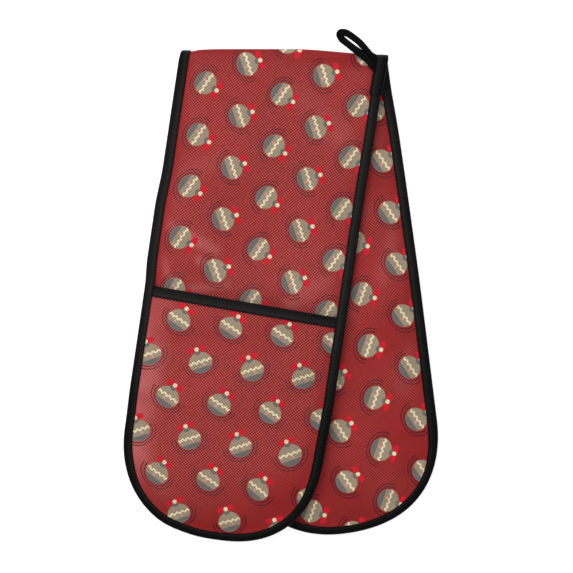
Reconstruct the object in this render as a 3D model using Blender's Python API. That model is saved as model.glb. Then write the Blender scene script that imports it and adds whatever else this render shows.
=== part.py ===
"""Double oven glove: one long padded strip with a hand pocket at each round end, folded in half.

The glove lies folded on a flat surface. The rear half is underneath with its pocket face down,
the front half is on top with its pocket face up, and the slanted fold lets the two halves splay.
Units are metres and +Z is up. The fold runs along X at the +Y end.
"""

import math

import bmesh
import bpy
from mathutils import Vector

MM = 0.001

# Strip
STRIP_WIDTH = 181 * MM
FRONT_LENGTH = 430 * MM  # fold axis to the tip of the front round end
REAR_LENGTH = 424 * MM  # fold axis to the tip of the rear round end
SPLAY_ANGLE = math.radians(8.5)  # each half leans this far from the fold's perpendicular
END_DEPTH = 90 * MM  # length of the rounded end
END_FULLNESS = 2.2  # 2 is an ellipse, more is squarer
REAR_DRIFT = 1.8 * MM  # the rear half first curves outwards by this much,
REAR_SWAY = 5.5 * MM  # and then back by this much at its tip

# Layers
CLOTH = 0.8 * MM
LINING = 0.6 * MM
STRIP_WADDING = 4.0 * MM
POCKET_WADDING = 2.2 * MM
POCKET_WADDING_AT_SEAM = 0.6 * MM
LAYER_GAP = 0.3 * MM
STRIP_ROLL = 22 * MM  # from the tape to where the padding has its full thickness
POCKET_ROLL = 14 * MM

# Edge tape and the tape on the pocket mouths
TAPE = 0.8 * MM
BINDING_WIDTH = 9 * MM
BINDING_CORNER = 2 * MM
MOUTH_TAPE_WIDTH = 8.5 * MM
OVERLAP_WIDTH = 11 * MM  # the tape's folded end, which covers its start and the loop's root
OVERLAP_LENGTH = 36 * MM

# Pockets
MOUTH_DISTANCE = 218 * MM  # fold axis to the pocket's mouth, along the strip
MOUTH_SLANT = math.radians(1.3)
SIDE_CLEARANCE = 0.4 * MM
FRONT_CAVITY = 12 * MM  # free height for the hand at the middle of the mouth
REAR_CAVITY = 7 * MM
CROWN_POWER = 2.4

# Fold and drape
FOLD_INNER_RADIUS = 1.5 * MM
FOLD_RELAX = 90 * MM  # from the fold to where the front half lies on the rear half
REST_CLEARANCE = 1.8 * MM
DROOP_REACH = 112 * MM  # from the rear half's edge to where the front half meets the ground
LIFT_LEAD = 10 * MM  # the rear strip is at pocket height this far before its mouth
LIFT_REACH = 45 * MM

# Hanging loop
LOOP_REACH = 40.5 * MM
LOOP_WIDTH = 4.7 * MM
LOOP_THICKNESS = 2.6 * MM
LOOP_LEG_GAP = 0.5 * MM  # between the two legs where they are sewn in
LOOP_BELLY = 9.3 * MM  # between the middles of the legs at the loop's widest place
LOOP_BOW = 1.5 * MM
LOOP_DROOP = 3.5 * MM
LOOP_RISE = 1.0 * MM  # the root's middle above the tape's folded end
LOOP_FROM_FOLD = 2.5 * MM
LOOP_ANGLE = math.radians(138)  # from +X, seen from above
LOOP_TURN_SHARE = 0.8  # of the loop's reach, where the turn at its tip begins
LOOP_OPEN_SHARE = 0.6  # where the legs are furthest apart
LOOP_DROOP_SHARE = 0.4  # where it begins to droop

WELD = 0.001 * MM

TUCK = TAPE + LAYER_GAP  # from a tape's outer face to the cloth that it holds
STRIP_THICKNESS = 2 * CLOTH + STRIP_WADDING + 2 * LAYER_GAP
POCKET_LAYERS = CLOTH + LINING + 2 * LAYER_GAP
POCKET_THICKNESS = POCKET_LAYERS + POCKET_WADDING
POCKET_AT_SEAM = POCKET_LAYERS + POCKET_WADDING_AT_SEAM
PANEL_INSET = BINDING_WIDTH + SIDE_CLEARANCE  # the free part of a pocket stops here
FOLD_AXIS_HEIGHT = STRIP_THICKNESS + FOLD_INNER_RADIUS

# Rows of the meshes, as counts in each stretch from the fold to the round end, and in the end
STRETCH_ROWS = (5, 3, 1, 1, 1, 3)
MOUTH_STRETCH = 3
END_ROWS = 8
COLUMN_SHARES = (-1.0, -0.8, -0.55, -0.28, 0.0, 0.28, 0.55, 0.8, 1.0)
BEND_STEPS = 8
LOOP_LEG_STEPS = 9
LOOP_TURN_STEPS = 6

SIN = math.sin(SPLAY_ANGLE)
COS = math.cos(SPLAY_ANGLE)


def smooth(x):
    """0 below 0, 1 above 1 and an S curve between them."""
    x = min(1.0, max(0.0, x))
    return x * x * (3.0 - 2.0 * x)


def mix(a, b, share):
    return a + (b - a) * share


class Half:
    """One half of the strip. Points on it are (s, u): along it from the fold, and across it."""

    def __init__(self, name, side, length, drift, sway):
        self.name = name
        self.side = side
        self.length = length
        self.drift = drift
        self.sway = sway
        self.end_start = length - END_DEPTH

    def bend(self, s):
        """How far the middle line is to the side of a straight one."""
        return self.drift * smooth(s / FOLD_RELAX) - self.sway * smooth(s / self.length) ** 2

    def place(self, s, u):
        """X and Y of a point of the strip."""
        u += self.bend(s)
        return self.side * s * SIN + u * COS, -s * COS + self.side * u * SIN

    def locate(self, x, y):
        """The (s, u) of a place seen from above."""
        s = self.side * x * SIN - y * COS
        u = x * COS + self.side * y * SIN
        return s, u - self.bend(s)

    def rim(self, s, u, inset=0.0):
        """0 on the middle line and 1 on the outline, or on the outline moved in by the inset."""
        across = abs(u) / (STRIP_WIDTH / 2 - inset)
        along = max(0.0, s - self.end_start) / (END_DEPTH - inset)
        return (across**END_FULLNESS + along**END_FULLNESS) ** (1 / END_FULLNESS)

    def from_edge(self, s, u):
        return (1.0 - self.rim(s, u)) * STRIP_WIDTH / 2

    def from_mouth(self, s, u):
        """Along the strip from the pocket's mouth, less than 0 on the fold's side of it."""
        return s - MOUTH_DISTANCE - u * math.tan(MOUTH_SLANT)

    def strip_fullness(self, s, u):
        return smooth((self.from_edge(s, u) - BINDING_WIDTH) / STRIP_ROLL)

    def pocket_fullness(self, s, u):
        sides = smooth((self.from_edge(s, u) - PANEL_INSET) / POCKET_ROLL)
        return sides * smooth((self.from_mouth(s, u) - MOUTH_TAPE_WIDTH) / POCKET_ROLL)

    def pocket_thickness(self, s, u):
        return mix(POCKET_AT_SEAM, POCKET_THICKNESS, self.pocket_fullness(s, u))

    def crown(self, s, u):
        """How far the pocket stands open, as a share of its cavity."""
        return 1.0 - min(1.0, self.rim(s, u, PANEL_INSET)) ** CROWN_POWER

    def mouth_zone(self, s, u):
        """1 under the mouth's tape, falling to 0 further into the pocket."""
        return 1.0 - smooth((self.from_mouth(s, u) - MOUTH_TAPE_WIDTH) / POCKET_ROLL)

    def seam_zone(self, s, u):
        """1 where the edge tape also holds the pocket, 0 where it holds the strip alone."""
        return smooth((self.from_mouth(s, u) + LIFT_LEAD) / LIFT_LEAD)

    def strip_low(self, s, u):
        return self.base(s, u) + TUCK * (1.0 - self.strip_fullness(s, u))

    def strip_high(self, s, u):
        squeezed = TUCK * (1.0 - self.strip_fullness(s, u))
        return self.base(s, u) + STRIP_THICKNESS - squeezed


class RearHalf(Half):
    """The half underneath. It lies on the ground and, past the mouth, on its own pocket."""

    def pocket_outer(self, s, u):
        return TUCK * (1.0 - self.pocket_fullness(s, u))

    def pocket_inner(self, s, u):
        return self.pocket_outer(s, u) + self.pocket_thickness(s, u)

    def base(self, s, u):
        lift = smooth((self.from_mouth(s, u) + LIFT_LEAD + LIFT_REACH) / LIFT_REACH)
        pocket_top = self.pocket_inner(s, u) + TUCK * self.mouth_zone(s, u) + LAYER_GAP
        squeezed = TUCK * (1.0 - self.strip_fullness(s, u))
        return lift * (pocket_top + REAR_CAVITY * self.crown(s, u) - squeezed)

    def binding_low(self, s, u):
        return self.base(s, u) * (1.0 - self.seam_zone(s, u))

    def binding_high(self, s, u):
        return self.base(s, u) + STRIP_THICKNESS

    def seam_low(self, s, u):
        return self.binding_low(s, u) + TUCK

    def seam_high(self, s, u):
        return self.strip_low(s, u) - LAYER_GAP


class FrontHalf(Half):
    """The half on top. It lies on the rear half and droops to the ground beside it."""

    def __init__(self, name, side, length, drift, sway, rear):
        super().__init__(name, side, length, drift, sway)
        self.rear = rear

    def base(self, s, u):
        x, y = self.place(s, u)
        under_s, under_u = self.rear.locate(x, y)
        past_edge = max(0.0, -self.rear.from_edge(under_s, under_u))
        top = self.rear.base(under_s, under_u) + STRIP_THICKNESS + REST_CLEARANCE
        draped = top * (1.0 - smooth(past_edge / DROOP_REACH))
        at_fold = FOLD_AXIS_HEIGHT + FOLD_INNER_RADIUS
        return mix(at_fold, draped, smooth(-y / FOLD_RELAX))

    def pocket_inner(self, s, u):
        stand = TUCK * self.mouth_zone(s, u) + FRONT_CAVITY * self.crown(s, u)
        return self.strip_high(s, u) + LAYER_GAP + stand

    def pocket_outer(self, s, u):
        return self.pocket_inner(s, u) + self.pocket_thickness(s, u)

    def seam_height(self, s, u):
        """What the pocket's sewn edge adds to the height inside the edge tape."""
        return LAYER_GAP + POCKET_AT_SEAM + TUCK * self.mouth_zone(s, u)

    def binding_low(self, s, u):
        return self.base(s, u)

    def binding_high(self, s, u):
        added = self.seam_height(s, u) * self.seam_zone(s, u)
        return self.base(s, u) + STRIP_THICKNESS + added

    def seam_low(self, s, u):
        return self.strip_high(s, u) + LAYER_GAP

    def seam_high(self, s, u):
        return self.binding_high(s, u) - TUCK


def stations(half):
    """Rows from the fold to the tip: (s on the middle line, slant of the row, turn in the end)."""
    mouth = MOUTH_DISTANCE
    past_tape = mouth + MOUTH_TAPE_WIDTH
    breaks = [
        LAYER_GAP / COS,
        mouth - LIFT_LEAD - LIFT_REACH,
        mouth - LIFT_LEAD,
        mouth,
        past_tape,
        past_tape + POCKET_ROLL,
        half.end_start,
    ]
    rows = []
    for stretch, count in enumerate(STRETCH_ROWS):
        for step in range(count):
            s = mix(breaks[stretch], breaks[stretch + 1], step / count)
            if s < mouth:
                fold_slant = half.side * math.tan(SPLAY_ANGLE)
                slant = mix(fold_slant, math.tan(MOUTH_SLANT), min(1.0, s / breaks[2]))
            else:
                past = (s - mouth) / (half.end_start - mouth)
                slant = math.tan(MOUTH_SLANT) * (1.0 - past)
            rows.append((s, slant, 0.0))
    for step in range(END_ROWS + 1):
        rows.append((half.end_start, 0.0, math.pi / 2 * step / END_ROWS))
    return rows


def row_point(half, row, share, inset):
    """(s, u) at a share of the way from the middle line to the outline moved in by the inset."""
    s, slant, turn = row
    power = 2 / END_FULLNESS
    u = share * (STRIP_WIDTH / 2 - inset) * math.cos(turn) ** power
    if turn > math.pi / 2 - 1e-6:
        u = 0.0
    return s + slant * u + (END_DEPTH - inset) * math.sin(turn) ** power, u


def material(name, colour, roughness):
    made = bpy.data.materials.new(name)
    made.use_nodes = True
    surface = made.node_tree.nodes["Principled BSDF"]
    surface.inputs["Base Color"].default_value = (*colour, 1.0)
    surface.inputs["Roughness"].default_value = roughness
    surface.inputs["Metallic"].default_value = 0.0
    made.diffuse_color = (*colour, 1.0)
    return made


def axis_empty(name, place, parent=None):
    """An empty on a joint's axis, or at the glove's origin. Its pieces hang from it."""
    empty = bpy.data.objects.new(name, None)
    bpy.context.scene.collection.objects.link(empty)
    empty["place"] = tuple(place)
    empty.location = Vector(place)
    if parent is not None:
        empty.location -= Vector(parent["place"])
        empty.parent = parent
    return empty


def finish_piece(name, bm, look, parent):
    """Makes the object from points in the glove's frame and hangs it from its parent."""
    bmesh.ops.remove_doubles(bm, verts=bm.verts, dist=WELD)
    bmesh.ops.recalc_face_normals(bm, faces=bm.faces)
    bmesh.ops.translate(bm, verts=bm.verts, vec=-Vector(parent["place"]))
    mesh = bpy.data.meshes.new(name)
    bm.to_mesh(mesh)
    bm.free()
    mesh.materials.append(look)
    mesh.shade_smooth()
    mesh.set_sharp_from_angle(angle=math.radians(40))
    piece = bpy.data.objects.new(name, mesh)
    bpy.context.scene.collection.objects.link(piece)
    piece.parent = parent
    return piece


def skin(name, rings, look, parent, insets=None):
    """A solid through rings of points, closed by a face at each end.

    With insets, the rings go down one side of the strip and back up the other, and the insets
    are their points' distances from the outline. Each four-sided cell is then split as in the
    strip's layers, from its outer corner nearer the fold.
    """
    bm = bmesh.new()
    loops = [[bm.verts.new(point) for point in ring] for ring in rings]
    count = len(loops[0])
    for r, (this, following) in enumerate(zip(loops, loops[1:])):
        near, far = (this, following) if r < len(rings) // 2 else (following, this)
        for i in range(count):
            j = (i + 1) % count
            if insets is None:
                bm.faces.new((this[i], this[j], following[j], following[i]))
                continue
            outer, inner = (i, j) if insets[i] < insets[j] else (j, i)
            bm.faces.new((near[outer], near[inner], far[inner]))
            bm.faces.new((near[outer], far[inner], far[outer]))
    bm.faces.new(loops[0])
    bm.faces.new(loops[-1])
    return finish_piece(name, bm, look, parent)


def layer(name, half, first_row, edges, low, high, look, parent):
    """A padded sheet between two heights, over the strip's outline moved in by the edges.

    Each cell is split along the same diagonal on both faces, and in every layer, so that
    layers which follow one another never cross.
    """
    columns = [(share, PANEL_INSET) for share in COLUMN_SHARES]
    columns = [(-1.0, edge) for edge in edges] + columns + [(1.0, edge) for edge in edges]
    rows = stations(half)[first_row:]
    bm = bmesh.new()
    faces = []
    for height in (low, high):
        grid = []
        for row in rows:
            points = [row_point(half, row, share, inset) for share, inset in columns]
            line = [bm.verts.new((*half.place(s, u), height(s, u))) for s, u in points]
            grid.append(line)
        faces.append(grid)
    last = len(columns) - 1
    for grid in faces:
        for near, far in zip(grid, grid[1:]):
            for c in range(last):
                if c < last / 2:
                    bm.faces.new((near[c], near[c + 1], far[c + 1]))
                    bm.faces.new((near[c], far[c + 1], far[c]))
                else:
                    bm.faces.new((near[c], near[c + 1], far[c]))
                    bm.faces.new((near[c + 1], far[c + 1], far[c]))
    under, over = faces
    for column in (0, last):
        for r in range(len(rows) - 1):
            wall = (under[r][column], under[r + 1][column], over[r + 1][column], over[r][column])
            bm.faces.new(wall)
    bm.faces.new(under[0] + over[0][::-1])
    for grid in faces:
        bmesh.ops.remove_doubles(bm, verts=grid[-1], dist=WELD)
    bmesh.ops.dissolve_degenerate(bm, edges=bm.edges, dist=WELD / 2)
    return finish_piece(name, bm, look, parent)


def tape_section(low, high, width, wall):
    """(distance in from the outer edge, height) points of a tape folded over an edge."""
    corner = min(BINDING_CORNER, (high - low) / 2.5)
    near = corner * (1 - math.sqrt(0.5))
    return [
        (width, low),
        (corner, low),
        (near, low + near),
        (0.0, low + corner),
        (0.0, high - corner),
        (near, high - near),
        (corner, high),
        (width, high),
        (width, high - wall),
        (wall, high - wall),
        (wall, low + wall),
        (width, low + wall),
    ]


def along_row(half, row, side, inset, height):
    """A height at a distance in from the outline, straight between the columns of a layer."""
    first, second = TUCK, PANEL_INSET
    if inset > PANEL_INSET:
        next_column = COLUMN_SHARES[-2] * (STRIP_WIDTH / 2 - PANEL_INSET)
        first, second = PANEL_INSET, STRIP_WIDTH / 2 - next_column
    one = height(*row_point(half, row, side, first))
    other = height(*row_point(half, row, side, second))
    return mix(one, other, (inset - first) / (second - first))


def tape_ring(half, row, side, low, high, width, grow=0.0):
    """The tape's section at one row, following the strip's own slope across its width."""
    floor = along_row(half, row, side, -grow, low)
    roof = along_row(half, row, side, -grow, high)
    ring = []
    for q, z in tape_section(floor, roof, width, TAPE):
        inset = q - grow
        share = (z - floor) / (roof - floor)
        down = along_row(half, row, side, inset, low) - floor
        up = along_row(half, row, side, inset, high) - roof
        x, y = half.place(*row_point(half, row, side, inset))
        ring.append((x, y, z + mix(down, up, share)))
    return ring


def round_rows(half, first_row):
    """(row, side) pairs down one side of the strip, round its end and back up the other."""
    rows = stations(half)[first_row:]
    return [(row, -1.0) for row in rows] + [(row, 1.0) for row in rows[-2::-1]]


def binding(half, look, parent):
    rings = []
    for row, side in round_rows(half, 0):
        ring = tape_ring(half, row, side, half.binding_low, half.binding_high, BINDING_WIDTH)
        rings.append(ring)
    insets = [inset for inset, _ in tape_section(0.0, STRIP_THICKNESS, BINDING_WIDTH, TAPE)]
    return skin(half.name + "_binding", rings, look, parent, insets)


def pocket_seam(half, look, parent):
    """The sewn edge of the pocket, which stays under the edge tape."""
    corners = (
        (TUCK, half.seam_low),
        (BINDING_WIDTH, half.seam_low),
        (BINDING_WIDTH, half.seam_high),
        (TUCK, half.seam_high),
    )
    rings = []
    for row, side in round_rows(half, sum(STRETCH_ROWS[:MOUTH_STRETCH])):
        ring = []
        for inset, height in corners:
            x, y = half.place(*row_point(half, row, side, inset))
            ring.append((x, y, along_row(half, row, side, inset, height)))
        rings.append(ring)
    insets = [inset for inset, _ in corners]
    return skin(half.name + "_pocket_seam", rings, look, parent, insets)


def mouth_tape(half, look, parent):
    """The tape folded over the pocket's straight edge, from side to side."""
    rings = []
    row = stations(half)[sum(STRETCH_ROWS[:MOUTH_STRETCH])]
    for share in COLUMN_SHARES:
        s, u = row_point(half, row, share, PANEL_INSET)
        at_mouth = half.pocket_inner(s, u)
        low = min(at_mouth, half.pocket_outer(s, u)) - TUCK
        high = low + POCKET_AT_SEAM + 2 * TUCK
        ring = []
        for inset, z in tape_section(low, high, MOUTH_TAPE_WIDTH + TUCK, TAPE):
            along = s + inset - TUCK
            rise = half.pocket_inner(max(s, along), u) - at_mouth
            ring.append((*half.place(along, u), z + rise))
        rings.append(ring)
    return skin(half.name + "_pocket_tape", rings, look, parent)


def fold_layer(name, inner, outer, look, parent):
    """One layer of the strip where it turns over: inner and outer are depths into the strip."""
    rings = []
    edge_shares = [(-1.0, TUCK)] + [(share, PANEL_INSET) for share in COLUMN_SHARES]
    edge_shares.append((1.0, TUCK))
    for step in range(BEND_STEPS + 1):
        turn = math.pi * (step / BEND_STEPS - 0.5)
        lines = []
        for depth in (inner, outer):
            line = []
            for share, inset in edge_shares:
                u = share * (STRIP_WIDTH / 2 - inset)
                line.append(bend_point(u / COS, depth(u), turn))
            lines.append(line)
        rings.append(lines[0] + lines[1][::-1])
    return skin(name, rings, look, parent)


def bend_point(x, depth, turn):
    """A point of the fold: depth is measured from the strip's inner face outwards."""
    radius = FOLD_INNER_RADIUS + depth
    return x, radius * math.cos(turn), FOLD_AXIS_HEIGHT + radius * math.sin(turn)


def fold_binding(name, side, look, parent):
    rings = []
    for step in range(BEND_STEPS + 1):
        turn = math.pi * (step / BEND_STEPS - 0.5)
        section = tape_section(0.0, STRIP_THICKNESS, BINDING_WIDTH, TAPE)
        ring = []
        for q, depth in section:
            ring.append(bend_point(side * (STRIP_WIDTH / 2 - q) / COS, depth, turn))
        rings.append(ring)
    return skin(name, rings, look, parent)


def binding_overlap(front, look, parent):
    """The tape's end, folded under and sewn over its start and over the loop's root."""

    def low(s, u):
        return front.base(s, u) - TUCK

    def high(s, u):
        return front.base(s, u) + STRIP_THICKNESS + TUCK

    rings = []
    count = STRETCH_ROWS[0]
    for step in range(count + 1):
        row = (mix(TUCK, OVERLAP_LENGTH, step / count), front.side * math.tan(SPLAY_ANGLE), 0.0)
        rings.append(tape_ring(front, row, 1.0, low, high, OVERLAP_WIDTH + TUCK, TUCK))
    return skin("binding_overlap", rings, look, parent)


def loop_root(front):
    """The point where the loop's hinge line meets the middle of its root."""
    u = STRIP_WIDTH / 2 - OVERLAP_WIDTH - LAYER_GAP
    s = LOOP_FROM_FOLD / COS - u * math.tan(SPLAY_ANGLE)
    x, y = front.place(s, u)
    top = FOLD_AXIS_HEIGHT + FOLD_INNER_RADIUS + STRIP_THICKNESS + TUCK
    return Vector((x, y, top + LOOP_RISE))


def loop_path(front):
    """Middle line of the folded tape, out along one leg, round the tip and back.

    Each point comes with the direction across the tape. The two ends are cut along the edge
    tape that holds them, the hinge line of the loop.
    """
    root = loop_root(front)
    along = Vector((math.cos(LOOP_ANGLE), math.sin(LOOP_ANGLE), 0.0))
    across = Vector((-along.y, along.x, 0.0))
    cut = Vector((front.side * SIN, -COS, 0.0))
    cut /= cut.dot(across)
    root_gap = (LOOP_WIDTH + LOOP_LEG_GAP) / 2
    reach = LOOP_REACH - LOOP_WIDTH / 2
    shares = [LOOP_TURN_SHARE * step / LOOP_LEG_STEPS for step in range(LOOP_LEG_STEPS + 1)]
    narrowing = [1.0] * len(shares)
    for step in range(1, LOOP_TURN_STEPS + 1):
        turn = math.pi / 2 * step / LOOP_TURN_STEPS
        shares.append(mix(LOOP_TURN_SHARE, 1.0, math.sin(turn)))
        narrowing.append(math.cos(turn))
    lower, upper = [], []
    for share, narrow in zip(shares, narrowing):
        gap = mix(root_gap, LOOP_BELLY / 2, smooth(share / LOOP_OPEN_SHARE)) * narrow
        middle = root + along * (reach * share)
        middle -= across * (LOOP_BOW * math.sin(math.pi * share))
        middle.z -= LOOP_DROOP * smooth((share - LOOP_DROOP_SHARE) / (1.0 - LOOP_DROOP_SHARE))
        spread = cut.lerp(across, smooth(share / LOOP_OPEN_SHARE))
        lower.append(middle + spread * gap)
        upper.append(middle - spread * gap)
    path = lower + upper[-2::-1]
    sideways = [cut]
    for before, after in zip(path, path[2:]):
        ahead = after - before
        sideways.append(Vector((-ahead.y, ahead.x, 0.0)).normalized())
    sideways.append(-cut)
    return list(zip(path, sideways))


def hanging_loop(front, look, parent):
    half_width = LOOP_WIDTH / 2
    half_height = LOOP_THICKNESS / 2
    corner = half_height * (1 - math.sqrt(0.5))
    section = [
        (half_width, 0.0),
        (half_width - corner, half_height - corner),
        (0.0, half_height),
        (corner - half_width, half_height - corner),
        (-half_width, 0.0),
        (corner - half_width, corner - half_height),
        (0.0, -half_height),
        (half_width - corner, corner - half_height),
    ]
    rings = []
    for point, sideways in loop_path(front):
        rings.append([point + sideways * q + Vector((0.0, 0.0, z)) for q, z in section])
    return skin("hanging_loop", rings, look, parent)


def pocket(half, cloth, lining, padding, tape, parent):
    """The free part of a pocket: printed cloth outside, wadding, lining and the mouth's tape."""
    first = sum(STRETCH_ROWS[:MOUTH_STRETCH])
    up = 1.0 if isinstance(half, FrontHalf) else -1.0

    def from_inner(depth):
        return lambda s, u: half.pocket_inner(s, u) + up * depth

    def from_outer(depth):
        return lambda s, u: half.pocket_outer(s, u) - up * depth

    sheets = (
        ("cloth", from_outer(CLOTH), from_outer(0.0), cloth),
        ("wadding", from_inner(LINING + LAYER_GAP), from_outer(CLOTH + LAYER_GAP), padding),
        ("lining", from_inner(0.0), from_inner(LINING), lining),
    )
    for kind, one, other, look in sheets:
        name = half.name + "_pocket_" + kind
        layer(name, half, first, (), one, other, look, parent)
    mouth_tape(half, tape, parent)


def strip(half, low_kind, high_kind, cloth, padding, parent):
    """The strip's three layers: a printed cloth on each face and the wadding between them."""

    def from_low(depth):
        return lambda s, u: half.strip_low(s, u) + depth

    def from_high(depth):
        return lambda s, u: half.strip_high(s, u) - depth

    past_cloth = CLOTH + LAYER_GAP
    sheets = (
        (low_kind, from_low(0.0), from_low(CLOTH), cloth),
        ("wadding", from_low(past_cloth), from_high(past_cloth), padding),
        (high_kind, from_high(CLOTH), from_high(0.0), cloth),
    )
    for kind, one, other, look in sheets:
        layer(half.name + "_" + kind, half, 0, (TUCK,), one, other, look, parent)


def fold(cloth, padding, tape, parent):
    """The strip's middle, turned over at the fold."""

    def squeezed(u):
        edge = STRIP_WIDTH / 2 - abs(u)
        return TUCK * (1.0 - smooth((edge - BINDING_WIDTH) / STRIP_ROLL))

    def from_inner(depth):
        return lambda u: squeezed(u) + depth

    def from_outer(depth):
        return lambda u: STRIP_THICKNESS - squeezed(u) - depth

    past_cloth = CLOTH + LAYER_GAP
    fold_layer("fold_inner_cloth", from_inner(0.0), from_inner(CLOTH), cloth, parent)
    fold_layer("fold_wadding", from_inner(past_cloth), from_outer(past_cloth), padding, parent)
    fold_layer("fold_outer_cloth", from_outer(CLOTH), from_outer(0.0), cloth, parent)
    fold_binding("fold_binding_left", -1.0, tape, parent)
    fold_binding("fold_binding_right", 1.0, tape, parent)


def tip(half, height):
    """The middle of the round end's outer edge, at the height of the pocket's outer face."""
    return Vector((*half.place(half.length, 0.0), height))


def main():
    for old in list(bpy.data.objects):
        bpy.data.objects.remove(old)

    printed = material("printed_cloth", (0.36, 0.035, 0.04), 0.85)
    padding = material("white_wadding", (0.82, 0.81, 0.78), 0.95)
    lining = material("plain_lining", (0.72, 0.68, 0.60), 0.9)
    tape = material("black_tape", (0.012, 0.012, 0.013), 0.6)

    rear = RearHalf("rear", 1.0, REAR_LENGTH, REAR_DRIFT, REAR_SWAY)
    front = FrontHalf("front", -1.0, FRONT_LENGTH, 0.0, 0.0, rear)

    front_tip_height = front.binding_high(front.length, 0.0)
    glove = axis_empty("glove", (0.0, 0.0, 0.0))
    rear_axis = axis_empty("rear_pocket_axis", tip(rear, 0.0), glove)
    fold_axis = axis_empty("fold_axis", (0.0, 0.0, FOLD_AXIS_HEIGHT), rear_axis)
    front_axis = axis_empty("front_pocket_axis", tip(front, front_tip_height), fold_axis)
    loop_axis = axis_empty("loop_axis", loop_root(front), fold_axis)

    pocket(rear, printed, lining, padding, tape, glove)
    strip(rear, "outer_cloth", "inner_cloth", printed, padding, rear_axis)
    binding(rear, tape, rear_axis)
    pocket_seam(rear, printed, rear_axis)
    fold(printed, padding, tape, rear_axis)

    strip(front, "inner_cloth", "outer_cloth", printed, padding, fold_axis)
    binding(front, tape, fold_axis)
    pocket_seam(front, printed, fold_axis)
    binding_overlap(front, tape, fold_axis)
    pocket(front, printed, lining, padding, tape, front_axis)
    hanging_loop(front, tape, loop_axis)

    bpy.context.view_layer.update()
    corners = [
        piece.matrix_world @ Vector(corner)
        for piece in bpy.data.objects
        if piece.type == "MESH"
        for corner in piece.bound_box
    ]
    middle_x = (min(c.x for c in corners) + max(c.x for c in corners)) / 2
    middle_y = (min(c.y for c in corners) + max(c.y for c in corners)) / 2
    glove.location = (-middle_x, -middle_y, 0.0)
    bpy.context.view_layer.update()


main()
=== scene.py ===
import math

import bmesh
import bpy
from mathutils import Matrix, Vector, noise


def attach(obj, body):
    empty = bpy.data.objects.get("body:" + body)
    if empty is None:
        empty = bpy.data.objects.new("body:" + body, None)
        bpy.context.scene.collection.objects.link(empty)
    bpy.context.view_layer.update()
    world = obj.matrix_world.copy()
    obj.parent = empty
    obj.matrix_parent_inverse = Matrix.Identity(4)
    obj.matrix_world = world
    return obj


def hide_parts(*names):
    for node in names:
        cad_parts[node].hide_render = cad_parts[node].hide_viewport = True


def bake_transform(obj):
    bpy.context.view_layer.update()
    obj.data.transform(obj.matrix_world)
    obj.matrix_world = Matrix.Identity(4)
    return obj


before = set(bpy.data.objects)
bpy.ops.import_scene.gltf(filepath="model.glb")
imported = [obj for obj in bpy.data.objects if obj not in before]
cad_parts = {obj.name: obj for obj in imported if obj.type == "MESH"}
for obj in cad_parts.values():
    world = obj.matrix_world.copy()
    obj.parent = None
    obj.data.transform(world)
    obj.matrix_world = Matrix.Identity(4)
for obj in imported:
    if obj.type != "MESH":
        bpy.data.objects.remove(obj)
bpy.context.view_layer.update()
print("frame: loaded", len(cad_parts), "nodes")

mm = 0.001

# How the glove is cut and lies; points on a half are (s, u): along it from the fold, and across it

glove = {
    "width": 181 * mm,
    "splay": math.radians(8.5),  # each half leans this far from the fold's perpendicular
    "endDepth": 90 * mm,
    "endFullness": 2.2,
    "endRun": 141 * mm,  # along the round end's edge, from its start to its tip
    "foldAt": (1.8953 * mm, 200.1156 * mm),  # middle of the fold, seen from above
    "foldRadius": 1.5 * mm,
    "foldHeight": 7.7 * mm,
    "relax": 90 * mm,
    "clearance": 1.8 * mm,
    "droop": 112 * mm,
    "liftLead": 10 * mm,
    "liftReach": 45 * mm,
}
front = {"side": -1, "length": 430 * mm, "drift": 0.0, "sway": 0.0}
rear = {"side": 1, "length": 424 * mm, "drift": 1.8 * mm, "sway": 5.5 * mm}
padding = {
    "strip": 6.2 * mm,
    "pocket": 4.2 * mm,
    "pocketAtSeam": 2.6 * mm,
    "stripRoll": 22 * mm,  # from the tape to where the padding is full
    "pocketRoll": 14 * mm,
    "gap": 0.3 * mm,
}
tape = {
    "wall": 0.8 * mm,
    "tuck": 1.1 * mm,
    "edgeWidth": 9 * mm,
    "mouthWidth": 8.5 * mm,
    "corner": 2.2 * mm,
    "stitchFromEdge": 1.9 * mm,
    "stitchGroove": 0.28 * mm,
    "grooveReach": 0.9 * mm,
    "rounding": 0.25 * mm,  # of its outer edges
    "wallRounding": 0.6 * mm,  # inside, where it turns
    "swell": 0.12 * mm,
    "swellFromMiddle": 0.5 * mm,
    "turnSteps": 5,
    "sheenFromStitch": 1.1 * mm,
    "sheenReach": 1.0 * mm,
}
pocketCut = {
    "mouth": 218 * mm,
    "slant": math.tan(math.radians(1.3)),
    "inset": 9.4 * mm,
    "frontCavity": 12 * mm,
    "rearCavity": 7 * mm,
    "crownPower": 2.4,
    "seamAt": 80 * mm,  # its mouth is sewn down this far from the middle line
}
sinSplay = math.sin(glove["splay"])
cosSplay = math.cos(glove["splay"])


def smooth(x):
    x = min(1.0, max(0.0, x))
    return x * x * (3.0 - 2.0 * x)


def mix(a, b, share):
    return a + (b - a) * share


def grows(x, span):  # from 0 to 1 over a span, which is (start, length)
    return smooth((x - span[0]) / span[1])


def fades(x, span):  # from 1 to 0
    return smooth((span[0] + span[1] - x) / span[1])


def bend(half, s):
    return half["drift"] * smooth(s / glove["relax"]) - half["sway"] * smooth(s / half["length"]) ** 2


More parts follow.
